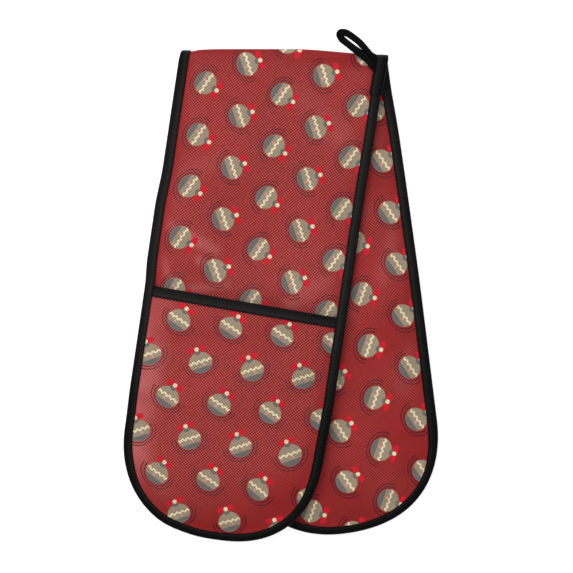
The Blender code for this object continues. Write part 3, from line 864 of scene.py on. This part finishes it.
def swell(pieces):
    scene = bpy.context.scene
    for piece in pieces:
        seams = piece.vertex_groups.new(name="seams")
        for vert, value in zip(piece.data.vertices, piece.data.attributes["free"].data):
            seams.add([vert.index], 1.0 if value.value < swelling["pinned"] else 0.0, "REPLACE")
        cloth = piece.modifiers.new("cloth", "CLOTH")
        cloth.settings.quality = swelling["quality"]
        cloth.settings.mass = swelling["mass"]
        cloth.settings.bending_stiffness = swelling["bending"]
        cloth.settings.use_pressure = True
        cloth.settings.uniform_pressure_force = swelling["pressure"]
        cloth.settings.shrink_min = -swelling["spareCloth"]
        cloth.settings.vertex_group_mass = "seams"
        cloth.settings.effector_weights.gravity = 0.0
        cloth.collision_settings.use_collision = False
        cloth.point_cache.frame_start = 1
        cloth.point_cache.frame_end = swelling["frames"]
    for step in range(1, swelling["frames"] + 1):
        scene.frame_set(step)
    depsgraph = bpy.context.evaluated_depsgraph_get()
    for piece in pieces:
        blown = [vert.co.copy() for vert in piece.evaluated_get(depsgraph).data.vertices]
        free = [value.value for value in piece.data.attributes["free"].data]
        piece.modifiers.clear()
        piece.vertex_groups.clear()
        for vert, target, share in zip(piece.data.vertices, blown, free):
            move = target - vert.co
            if share > 0.0 and move.length > 1e-7:
                reach = swelling["reach"]
                vert.co += move * (share * reach * math.tanh(move.length / reach) / move.length)
                vert.co.z = max(0.0, vert.co.z)
        piece.data.update()
    scene.frame_set(1)


padded = [frontStrip, rearStrip, frontPocket, rearPocket]
swell(padded)
print("padding: swelled by cloth simulation")
for piece in padded:
    piece.data.attributes.remove(piece.data.attributes["free"])


# A pocket lifts at its middle while its sides stay sewn, so it is parted along its middle line
def halved(piece, side, name):
    bm = bmesh.new()
    bm.from_mesh(piece.data)
    cloth = bm.loops.layers.uv["print"]
    across = [sum(loop[cloth].uv.x for loop in face.loops) * side for face in bm.faces]
    bmesh.ops.delete(bm, geom=[face for face, value in zip(bm.faces, across) if value < 0], context="FACES")
    rims = [edge for edge in bm.edges if len(edge.link_faces) == 1]
    bmesh.ops.holes_fill(bm, edges=rims, sides=0)
    return newPiece(name, bm, list(piece.data.materials))


frontPocketLeft = halved(frontPocket, -1, "frontPocketLeft")
frontPocketRight = halved(frontPocket, 1, "frontPocketRight")
rearPocketLeft = halved(rearPocket, -1, "rearPocketLeft")
rearPocketRight = halved(rearPocket, 1, "rearPocketRight")
for piece in (frontPocket, rearPocket):
    bpy.data.objects.remove(piece)

# The fold

foldTurns = {
    "columns": 60,
    "steps": 20,
    "clothInner": 5.4 * mm,
    "padding": (0.0, 5.2 * mm),
    "weave": 0.55,
    "weaveFrom": (0.4, 1.1),  # radians round the fold
    "weaveLostAtLoop": 0.9,
    "roll": 9 * mm,
    "corner": 1.5 * mm,  # the tape turns in at the fold's left end
    "cornerAt": (55 * mm, 30 * mm),
    "fuller": 1.2 * mm,
    "pinchedRight": 5.6 * mm,
    "right": (8 * mm, 85 * mm),
    "pinchedLeft": 1.1 * mm,
    "left": (55 * mm, 35 * mm),
    "tapeWidens": (0.3, 0.25),  # share of the way round
    "outerOpens": (0.8 * mm, 14.6 * mm),  # heights between which the layers turn when the fold opens
    "innerOpens": (6.2 * mm, 9.2 * mm),
}


def foldBulge(u):  # the fold is fullest left of its middle and pinched at the loop
    pinched = foldTurns["pinchedRight"] * grows(u, foldTurns["right"])
    pinched += foldTurns["pinchedLeft"] * grows(-u, foldTurns["left"])
    return 1.0 + (foldTurns["fuller"] - pinched) / (glove["foldRadius"] + padding["strip"])


def onFold(u, depth, turn):
    radius = glove["foldRadius"] + depth
    x, y = glove["foldAt"]
    y += radius * math.cos(turn) * foldBulge(u)
    x += foldTurns["corner"] * math.cos(turn) * grows(-u, foldTurns["cornerAt"])
    x += lie["atLoop"] * smooth(u / lie["sideReach"]) * cosSplay
    return x + u / cosSplay, y, glove["foldHeight"] + radius * math.sin(turn)


def foldPadding(name, inner, outer):
    innermost = inner == 0.0  # it has the strip's inner cloth

    def put(a, b, level):
        u = a * (glove["width"] / 2 - tape["tuck"])
        turn = math.pi * (b - 0.5)
        inside = glove["width"] / 2 - abs(u) - tape["edgeWidth"]
        roll = mix(foldTurns["roll"], padding["stripRoll"], math.sin(turn) ** 2)
        squeezed = tape["tuck"] * (1.0 - smooth(inside / roll))
        if level > 0.5:
            depth = outer - squeezed
        else:
            depth = inner + (squeezed if innermost else -squeezed)
        along = u * math.tan(glove["splay"]) + (1 - b) * (foldInside if innermost else foldCloth)
        nearLoop = foldTurns["weaveLostAtLoop"] * smooth(u / lie["sideReach"])
        shows = grows(turn, foldTurns["weaveFrom"]) * foldTurns["weave"] * (1.0 - nearLoop)
        return onFold(u, depth, turn), (along, u), shows, 0.0, 0.0

    bm = bmesh.new()
    slab(bm, foldTurns["columns"], foldTurns["steps"], put)
    return newPiece(name, bm, [clothLook])


foldOuterCloth = foldPadding("foldOuterCloth", foldTurns["clothInner"], padding["strip"])
foldInnerPad = foldPadding("foldInnerPad", *foldTurns["padding"])
for piece in (foldOuterCloth, foldInnerPad):
    piece.data.attributes.remove(piece.data.attributes["free"])
print("fold: outer cloth and inner padding")

# Edge tape


def tapeSection(width):
    # round a tape folded over an edge: (distance in from the edge, share of the height, offset from it)
    corner, rounding = tape["corner"], tape["rounding"]
    seam, reach = width - tape["stitchFromEdge"], tape["grooveReach"]
    lower = [(width, 0.0, rounding), (width - rounding, 0.0, 0.0)]
    lower += [(seam + reach, 0.0, 0.0), (seam, 0.0, tape["stitchGroove"]), (seam - reach, 0.0, 0.0)]
    lower.append(((width + corner) / 2 - tape["swellFromMiddle"], 0.0, -tape["swell"]))
    for k in range(tape["turnSteps"] + 1):
        turn = math.pi / 2 * k / tape["turnSteps"]
        lower.append((corner * (1 - math.sin(turn)), 0.0, corner * (1 - math.cos(turn))))
    upper = [(q, 1.0, -offset) for q, _, offset in lower[::-1]]
    wall, inside = tape["wall"], tape["wall"] + tape["wallRounding"]
    inner = [(width, 1.0, -wall), (inside, 1.0, -wall), (wall, 1.0, -inside)]
    inner += [(wall, 0.0, inside), (inside, 0.0, wall), (width, 0.0, wall)]
    return lower + upper + inner


def roundPath(half, first, count):
    # rows down one side of the half, round its end and back up the other
    rows = [(rowAt(half, first + (1 - first) * k / count), -1.0) for k in range(count + 1)]
    return rows + [(row, 1.0) for row, _ in rows[-2::-1]]


edgeTape = {
    "steps": 175,
    "pucker": 0.10 * mm,
    "endNarrowing": 2.1 * mm,
    "endTurn": 0.7,  # radians round the end to where it is narrowest
    "sideNarrowing": 1.2 * mm,
    "besidePocket": (205 * mm, 15 * mm),
}


def narrowing(half, row, side):  # the tape takes in less cloth where it turns round a thick pocket
    s, _, turn = row
    atEnd = edgeTape["endNarrowing"] * smooth(turn / edgeTape["endTurn"])
    besidePocket = edgeTape["sideNarrowing"] * grows(s, edgeTape["besidePocket"])
    return max(atEnd, besidePocket) if half is front and side < 0 else atEnd


def edgePoint(half, row, side, q, share, offset, low=edgeTapeLow, high=edgeTapeHigh):
    q -= narrowing(half, row, side) * (q / tape["edgeWidth"]) ** 2
    s, u = onRow(row, side, q)
    x, y = place(half, s, u)
    bottom, top = low(half, s, u), high(half, s, u)
    return x, y, max(0.0, mix(bottom, top, share) + offset)


def sewnRing(width, step, point, *where):  # drawn in a little at every other stitch
    pucker = edgeTape["pucker"] * (step % 2 - 0.5)
    ring = []
    for q, share, offset in tapeSection(width):
        swing = pucker if q > width / 2 and share > 0.5 else 0.0
        ring.append(point(*where, q, share, offset + swing))
    return ring


def edgeTapeRings(half):
    path = roundPath(half, 0.0, edgeTape["steps"])
    return [sewnRing(tape["edgeWidth"], k, edgePoint, half, *at) for k, at in enumerate(path)]


def sheenLine(width):  # a lighter line of painted sheen runs on the tape just outside its stitches
    sheenAround = []
    for q, share, offset in tapeSection(width):
        away = (q - width + tape["stitchFromEdge"] + tape["sheenFromStitch"]) / tape["sheenReach"]
        outside = abs(offset) < tape["wall"] or q < tape["corner"]
        sheenAround.append(math.exp(-away * away) if outside else 0.0)
    return sheenAround


def tapePiece(name, rings, look=None, width=tape["edgeWidth"]):
    bm = bmesh.new()
    band(bm, rings, sheenLine(width) if width else None)
    return newPiece(name, bm, [look or tapeLook], sharp=60)


frontEdgeTape = tapePiece("frontEdgeTape", edgeTapeRings(front))
rearEdgeTape = tapePiece("rearEdgeTape", edgeTapeRings(rear))


def foldTape(name, side, wider):
    # wider is how far the tape grows from below to above, to meet its sewn end
    rings = []
    for step in range(foldTurns["steps"] + 1):
        turn = math.pi * (step / foldTurns["steps"] - 0.5)
        grow = wider * grows(step / foldTurns["steps"], foldTurns["tapeWidens"])
        ring = []
        for q, share, offset in tapeSection(tape["edgeWidth"] + 2 * grow):
            depth = share * (padding["strip"] + grow) + offset
            ring.append(onFold(side * (glove["width"] / 2 + grow - q), depth, turn))
        rings.append(ring)
    return tapePiece(name, rings)


foldTapeLeft = foldTape("foldTapeLeft", -1.0, 0.0)
foldTapeRight = foldTape("foldTapeRight", 1.0, tape["tuck"])
print("edge tape: round both halves and over the fold")

# The tape's folded end, sewn over its start

tapeEnd = {
    "width": 10.3 * mm,
    "length": 32.6 * mm,
    "start": -0.2 * mm,
    "steps": 26,
    "hem": 7 * mm,
    "hemHeight": 0.35 * mm,
    "hemStarts": (1.0, 0.25),  # shares of the hem
    "hemEnds": (0.0, 0.12),
    "ragged": 0.35 * mm,
    "raggedEvery": 3 * mm,
    "raggedWidth": 1 * mm,
}


def underTape(half, s, u):
    return base(half, s, u) - tape["tuck"]


def overTape(half, s, u):
    return base(half, s, u) + padding["strip"] + tape["tuck"]


def tapeEndRings():
    rings = []
    for step in range(tapeEnd["steps"] + 1):
        s = mix(tapeEnd["start"], tapeEnd["length"], step / tapeEnd["steps"])
        row = (s, front["side"] * math.tan(glove["splay"]), 0.0)
        fromHem = (tapeEnd["length"] - s) / tapeEnd["hem"]
        hem = tapeEnd["hemHeight"] * fades(fromHem, tapeEnd["hemStarts"]) * grows(fromHem, tapeEnd["hemEnds"])
        ragged = tapeEnd["ragged"] * ripple(s, 0.0, tapeEnd["raggedEvery"], 2.0)
        ring = []
        for q, share, offset in tapeSection(tapeEnd["width"] + tape["tuck"]):
            inward = q - tape["tuck"] + (ragged if q > tapeEnd["width"] - tapeEnd["raggedWidth"] else 0.0)
            ring.append(edgePoint(front, row, 1.0, inward, share, offset + share * hem, underTape, overTape))
        rings.append(ring)
    return rings


tapeEndPiece = tapePiece("bindingEnd", tapeEndRings(), loopLook)

# Tape on the pocket mouths

mouthTape = {"steps": 62, "under": 6.6 * mm}  # its ends go under the edge tape


def mouthPoint(half, a, q, share, offset):
    inner, outer = frontPocketInner, frontPocketOuter
    if half is rear:
        inner, outer = rearPocketInner, rearPocketOuter
    s, u = onRow(rowAt(half, 0.0, pocketCut["mouth"]), a, mouthTape["under"])
    atMouth = inner(s, u)
    low = min(atMouth, outer(s, u)) - tape["tuck"]
    high = low + padding["pocketAtSeam"] + 2 * tape["tuck"]
    along = s + q - tape["tuck"]
    rise = inner(max(s, along), u) - atMouth
    x, y = place(half, along, u)
    return x, y, max(0.0, mix(low, high, share) + offset + rise)


def mouthTapeRings(half, side):
    width, steps = tape["mouthWidth"] + tape["tuck"], mouthTape["steps"]
    return [sewnRing(width, k, mouthPoint, half, side * (1 - k / steps)) for k in range(steps + 1)]


frontMouthLeft = tapePiece("frontMouthTapeLeft", mouthTapeRings(front, -1.0))
frontMouthRight = tapePiece("frontMouthTapeRight", mouthTapeRings(front, 1.0))
rearMouthLeft = tapePiece("rearMouthTapeLeft", mouthTapeRings(rear, -1.0))
rearMouthRight = tapePiece("rearMouthTapeRight", mouthTapeRings(rear, 1.0))
print("mouth tapes: on both pockets")

# Hanging loop

loop = {
    "reach": 42.3 * mm,
    "width": 4.7 * mm,
    "thickness": 2.6 * mm,
    "legGap": 0.5 * mm,
    "belly": 8.9 * mm,
    "bow": 0.85 * mm,
    "droop": 3.5 * mm,
    "rise": 1.0 * mm,
    "fromFold": 2.5 * mm,
    "angle": math.radians(140.2),
    "slotOpens": (0.35, 0.25),  # where the legs come apart, in shares of the reach
    "slotTo": 0.86,
    "slotRound": 6,
    "slotWidth": 1.7 * mm,
    "rootFlare": 0.5,
    "rootShare": 0.14,
    "lowerFlare": 0.5,
    "upperFlare": -0.15,
    "flareShare": 0.75,
    "fromEdge": 11 * mm,
    "tucked": 1.3 * mm,  # how far its ends go under the tape's end
    "bends": 4 * mm,  # beside the tape, where it turns as it swings
    "hingeHeight": 17.5 * mm,
    "turnShare": 0.8,
    "openShare": 0.6,
    "droopShare": 0.4,
    "legSteps": 40,
    "turnSteps": 20,
    # folded in four: from the side over a ridge to the groove in the middle of the top
    "profile": [(1.0, 0.0), (0.95, 0.5), (0.8, 0.86), (0.6, 1.0), (0.36, 0.94), (0.16, 0.72), (0.0, 0.62)],
    "underside": 0.95,
    "uneven": 0.06,
    "unevenEvery": (0.9, 0.23),
}


def loopRoot():
    u = glove["width"] / 2 - loop["fromEdge"]
    s = loop["fromFold"] / cosSplay - u * math.tan(glove["splay"])
    x, y = place(front, s, u)
    top = glove["foldHeight"] + glove["foldRadius"] + padding["strip"] + tape["tuck"]
    return Vector((x, y, top + loop["rise"]))


def loopRings():
    root = loopRoot()
    along = Vector((math.cos(loop["angle"]), math.sin(loop["angle"]), 0.0))
    across = Vector((-along.y, along.x, 0.0))
    cut = Vector((front["side"] * sinSplay, -cosSplay, 0.0))
    cut /= cut.dot(across)
    rootGap = (loop["width"] + loop["legGap"]) / 2
    reach = loop["reach"] - loop["width"] / 2
    shares = [-loop["tucked"] / reach]
    shares += [loop["turnShare"] * k / loop["legSteps"] for k in range(1, loop["legSteps"] + 1)]
    narrowing = [1.0] * len(shares)
    for k in range(1, loop["turnSteps"] + 1):
        turn = math.pi / 2 * k / loop["turnSteps"]
        shares.append(mix(loop["turnShare"], 1.0, math.sin(turn)))
        narrowing.append(math.cos(turn))

    def onMiddle(share):
        middle = root + along * (reach * share)
        middle -= across * (loop["bow"] * math.sin(math.pi * share))
        middle.z -= loop["droop"] * smooth((share - loop["droopShare"]) / (1.0 - loop["droopShare"]))
        return middle, cut.lerp(across, smooth(share / loop["openShare"]))

    lower, upper = [], []
    lowerSlot, upperSlot = [], []  # the legs' inner sides, which touch near the root
    for share, narrow in zip(shares, narrowing):
        gap = mix(rootGap, loop["belly"] / 2, smooth(share / loop["openShare"])) * narrow
        middle, spread = onMiddle(share)
        lower.append(middle + spread * gap)
        upper.append(middle - spread * gap)
        inSlot = share * loop["slotTo"]
        opens = grows(inSlot, loop["slotOpens"]) * math.sqrt(1.0 - share ** loop["slotRound"])
        middle, spread = onMiddle(inSlot)
        half = loop["slotWidth"] / 2 * opens
        lowerSlot.append(middle + spread * half)
        upperSlot.append(middle - spread * half)
    path = lower + upper[-2::-1]
    slot = lowerSlot + upperSlot[-2::-1]
    flare = []
    for flared, legShares in ((loop["lowerFlare"], shares), (loop["upperFlare"], shares[-2::-1])):
        for share in legShares:
            atRoot = loop["rootFlare"] * (1.0 - smooth(share / loop["rootShare"]))
            flare.append(1.0 + atRoot + flared * (1.0 - smooth(share / loop["flareShare"])))
    sideways = [cut]
    for before, after in zip(path, path[2:]):
        ahead = after - before
        sideways.append(Vector((-ahead.y, ahead.x, 0.0)).normalized())
    sideways.append(-cut)
    w, h = loop["width"] / 2, loop["thickness"] / 2
    section = loop["profile"] + [(-q, z) for q, z in loop["profile"][-2::-1]]
    section += [(-q, -z * loop["underside"]) for q, z in section[1:-1]]
    fast, slow = loop["unevenEvery"]
    rings = []
    for k, (point, side, inner, wider) in enumerate(zip(path, sideways, slot, flare)):
        ease = 1.0 - loop["uneven"] * math.sin(k * fast) * math.sin(k * slow)
        ring = []
        for q, z in section:
            reached = side * (q * w * wider) if q > 0 else (inner - point) * -q
            ring.append(point + reached + Vector((0.0, 0.0, z * h * ease)))
        rings.append(ring)
    return rings


hangingLoop = tapePiece("hangingLoop", loopRings(), loopLook, None)
print("hanging loop: folded tape")

# Stitches: short raised threads

stitch = {
    "size": (1.9 * mm, 0.42 * mm, 0.30 * mm),
    "every": 3.0 * mm,
    "proud": 0.02 * mm,
    "edgeStart": 0.004,  # share of the way to the round end's tip
    "edgeSteps": 170,
    "mouthSteps": 40,
    "mouthShare": 0.985,
}


def oneThread():
    bm = bmesh.new()
    lying = Matrix.Rotation(math.pi / 2, 4, "Y")
    bmesh.ops.create_uvsphere(bm, u_segments=6, v_segments=4, radius=0.5, matrix=lying)
    bmesh.ops.scale(bm, verts=bm.verts, vec=stitch["size"])
    mesh = bpy.data.meshes.new("thread")
    bm.to_mesh(mesh)
    bm.free()
    return mesh


def sew(bm, points, thread):
    # one thread every few millimetres along a line of points
    spare = 0.0
    for before, after in zip(points, points[1:]):
        run = after - before
        ahead = run.normalized()
        sideways = Vector((0, 0, 1)).cross(ahead).normalized()
        turn = Matrix((ahead, sideways, ahead.cross(sideways))).transposed().to_4x4()
        at = stitch["every"] - spare
        while at <= run.length:
            placed = thread.copy()
            placed.transform(Matrix.Translation(before + ahead * at) @ turn)
            bm.from_mesh(placed)
            bpy.data.meshes.remove(placed)
            at += stitch["every"]
        spare = run.length - (at - stitch["every"])


threadMesh = oneThread()


def threadPiece(name, lines):
    bm = bmesh.new()
    for line in lines:
        sew(bm, line, threadMesh)
    mesh = bpy.data.meshes.new(name)
    bm.to_mesh(mesh)
    bm.free()
    mesh.materials.append(threadLook)
    mesh.shade_smooth()
    return addObject(name, mesh)


def edgeStitchLines(half):
    q = tape["edgeWidth"] - tape["stitchFromEdge"]
    dip = tape["stitchGroove"] - stitch["proud"]
    path = roundPath(half, stitch["edgeStart"], stitch["edgeSteps"])
    faces = ((1.0, -dip), (0.0, dip))  # above and below
    return [[Vector(edgePoint(half, *at, q, share, offset)) for at in path] for share, offset in faces]


frontStitches = threadPiece("frontStitches", edgeStitchLines(front))
rearStitches = threadPiece("rearStitches", edgeStitchLines(rear))


def mouthStitches(half, side, name):
    q = tape["mouthWidth"] + tape["tuck"] - tape["stitchFromEdge"]
    dip, steps = tape["stitchGroove"], stitch["mouthSteps"]
    path = [side * (1 - k / steps) * stitch["mouthShare"] for k in range(steps + 1)]
    faces = ((1.0, -dip), (0.0, dip))
    return threadPiece(name, [[Vector(mouthPoint(half, a, q, *face)) for a in path] for face in faces])


frontMouthStitchesLeft = mouthStitches(front, -1.0, "frontMouthStitchesLeft")
frontMouthStitchesRight = mouthStitches(front, 1.0, "frontMouthStitchesRight")
rearMouthStitchesLeft = mouthStitches(rear, -1.0, "rearMouthStitchesLeft")
rearMouthStitchesRight = mouthStitches(rear, 1.0, "rearMouthStitchesRight")
print("stitches: along every tape")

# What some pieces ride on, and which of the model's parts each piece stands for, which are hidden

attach(frontStrip, "front_half")
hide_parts("front_outer_cloth", "front_wadding", "front_inner_cloth")
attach(rearStrip, "rear_half")
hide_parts("rear_outer_cloth", "rear_wadding", "rear_inner_cloth")
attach(frontEdgeTape, "front_half")
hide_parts("front_binding")
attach(rearEdgeTape, "rear_half")
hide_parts("rear_binding")
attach(tapeEndPiece, "front_half")
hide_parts("binding_overlap")
loopHinge = place(front, loop["fromFold"], glove["width"] / 2 - tapeEnd["width"])
loopHinge = Vector((*loopHinge, loop["hingeHeight"]))
loopBends = Vector((-cosSplay, -front["side"] * sinSplay, 0.0)) * loop["bends"]  # towards the strip's middle
tuple(loopHinge + loopBends)
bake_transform(hangingLoop)
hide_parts("hanging_loop")
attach(frontStitches, "front_half")
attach(rearStitches, "rear_half")


def acrossFold(piece, low, high):
    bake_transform(piece)


acrossFold(foldOuterCloth, *foldTurns["outerOpens"])
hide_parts("fold_outer_cloth")
acrossFold(foldInnerPad, *foldTurns["innerOpens"])
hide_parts("fold_wadding", "fold_inner_cloth")
acrossFold(foldTapeLeft, *foldTurns["innerOpens"])
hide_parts("fold_binding_left")
acrossFold(foldTapeRight, *foldTurns["innerOpens"])
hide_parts("fold_binding_right")


def liftsAtMiddle(piece, half, side):
    # points at the edge tape's inner edge, where it is sewn, and on the middle line
    s, u = pocketCut["mouth"], side * (glove["width"] / 2 - tape["edgeWidth"])
    edge = (*place(half, s + side * pocketCut["seamAt"] * pocketCut["slant"], u), 0.0)
    middle = (*place(half, s, 0.0), 0.0)
    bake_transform(piece)


for piece, half, side in (
    (frontPocketLeft, front, -1), (frontPocketRight, front, 1),
    (rearPocketLeft, rear, -1), (rearPocketRight, rear, 1),
    (frontMouthLeft, front, -1), (frontMouthRight, front, 1),
    (rearMouthLeft, rear, -1), (rearMouthRight, rear, 1),
    (frontMouthStitchesLeft, front, -1), (frontMouthStitchesRight, front, 1),
    (rearMouthStitchesLeft, rear, -1), (rearMouthStitchesRight, rear, 1),
):
    liftsAtMiddle(piece, half, side)

for piece in (frontPocketLeft, frontPocketRight):
    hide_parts("front_pocket_cloth", "front_pocket_wadding", "front_pocket_lining",
                "front_pocket_seam")
for piece in (rearPocketLeft, rearPocketRight):
    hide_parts("rear_pocket_cloth", "rear_pocket_wadding", "rear_pocket_lining",
                "rear_pocket_seam")
for piece in (frontMouthLeft, frontMouthRight):
    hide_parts("front_pocket_tape")
for piece in (rearMouthLeft, rearMouthRight):
    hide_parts("rear_pocket_tape")

print("pieces: some on their bodies, the rest baked in place")

# Floor, light and camera

studio = {
    "floorSize": 16.0,
    "floorBelow": 0.4 * mm,
    "floorColour": (0.9, 0.9, 0.9, 1.0),
    "white": (1.0, 1.0, 1.0, 1.0),
    "world": 0.46,
    "floorGlow": 0.62,
    "keyPower": 17.5,
    "keySize": 1.5,
    "keyAt": (-0.6, 0.7, 1.2),
    "fillPower": 5.0,
    "fillAt": (0.9, -0.9, 1.4),
    "viewWidth": 0.5056,  # what the photograph shows across
    "viewMiddle": (5.43 * mm, -0.89 * mm, 12 * mm),
    "cameraHeight": 3.0,
}


def seenRays(paint):  # 1 where the camera sees it, also through a gloss or glass
    path = paint.node("ShaderNodeLightPath")
    seen = paint.sum("MAXIMUM", path, Wire(paint, path.socket.node.outputs["Is Glossy Ray"]))
    return paint.sum("MAXIMUM", seen, Wire(paint, path.socket.node.outputs["Is Transmission Ray"]))


def floorLook():
    paint = Finish("floor")
    tree, strength = paint.tree, studio["floorGlow"]
    pale = paint.node("ShaderNodeBsdfDiffuse", sockets={"Color": studio["floorColour"]})
    glow = paint.node("ShaderNodeEmission", sockets={"Color": studio["white"], "Strength": strength})
    both = paint.node("ShaderNodeAddShader", sockets={0: pale, 1: glow})
    shown = paint.node("ShaderNodeMixShader", sockets={0: seenRays(paint), 1: pale, 2: both})
    tree.links.new(shown.socket, tree.nodes["Material Output"].inputs["Surface"])
    return paint.material


bm = bmesh.new()
bmesh.ops.create_grid(bm, x_segments=1, y_segments=1, size=studio["floorSize"] / 2)
bmesh.ops.translate(bm, verts=bm.verts, vec=(0, 0, -studio["floorBelow"]))
floor = newPiece("floor", bm, [floorLook()])

world = bpy.data.worlds.new("studio")
bpy.context.scene.world = world
world.use_nodes = True
sky = Finish("sky", world)
sky.surface.inputs["Color"].default_value = studio["white"]
level = seenRays(sky) * (1 - studio["world"]) + studio["world"]
sky.tree.links.new(level.socket, sky.surface.inputs["Strength"])


def softLight(name, at, power, size):
    light = bpy.data.lights.new(name, "AREA")
    light.energy = power
    light.size = size
    lamp = addObject(name, light)
    lamp.location = at
    lamp.rotation_euler = (-Vector(at)).to_track_quat("-Z", "Y").to_euler()


softLight("key", studio["keyAt"], studio["keyPower"], studio["keySize"])
softLight("fill", studio["fillAt"], studio["fillPower"], studio["keySize"])

view = bpy.data.cameras.new("camera")
view.sensor_width = 36.0
view.lens = view.sensor_width * studio["cameraHeight"] / studio["viewWidth"]
camera = addObject("camera", view)
x, y, z = studio["viewMiddle"]
camera.location = (x, y, z + studio["cameraHeight"])
bpy.context.scene.camera = camera
bpy.context.scene.view_settings.view_transform = "Standard"
print("studio: floor, light and camera")
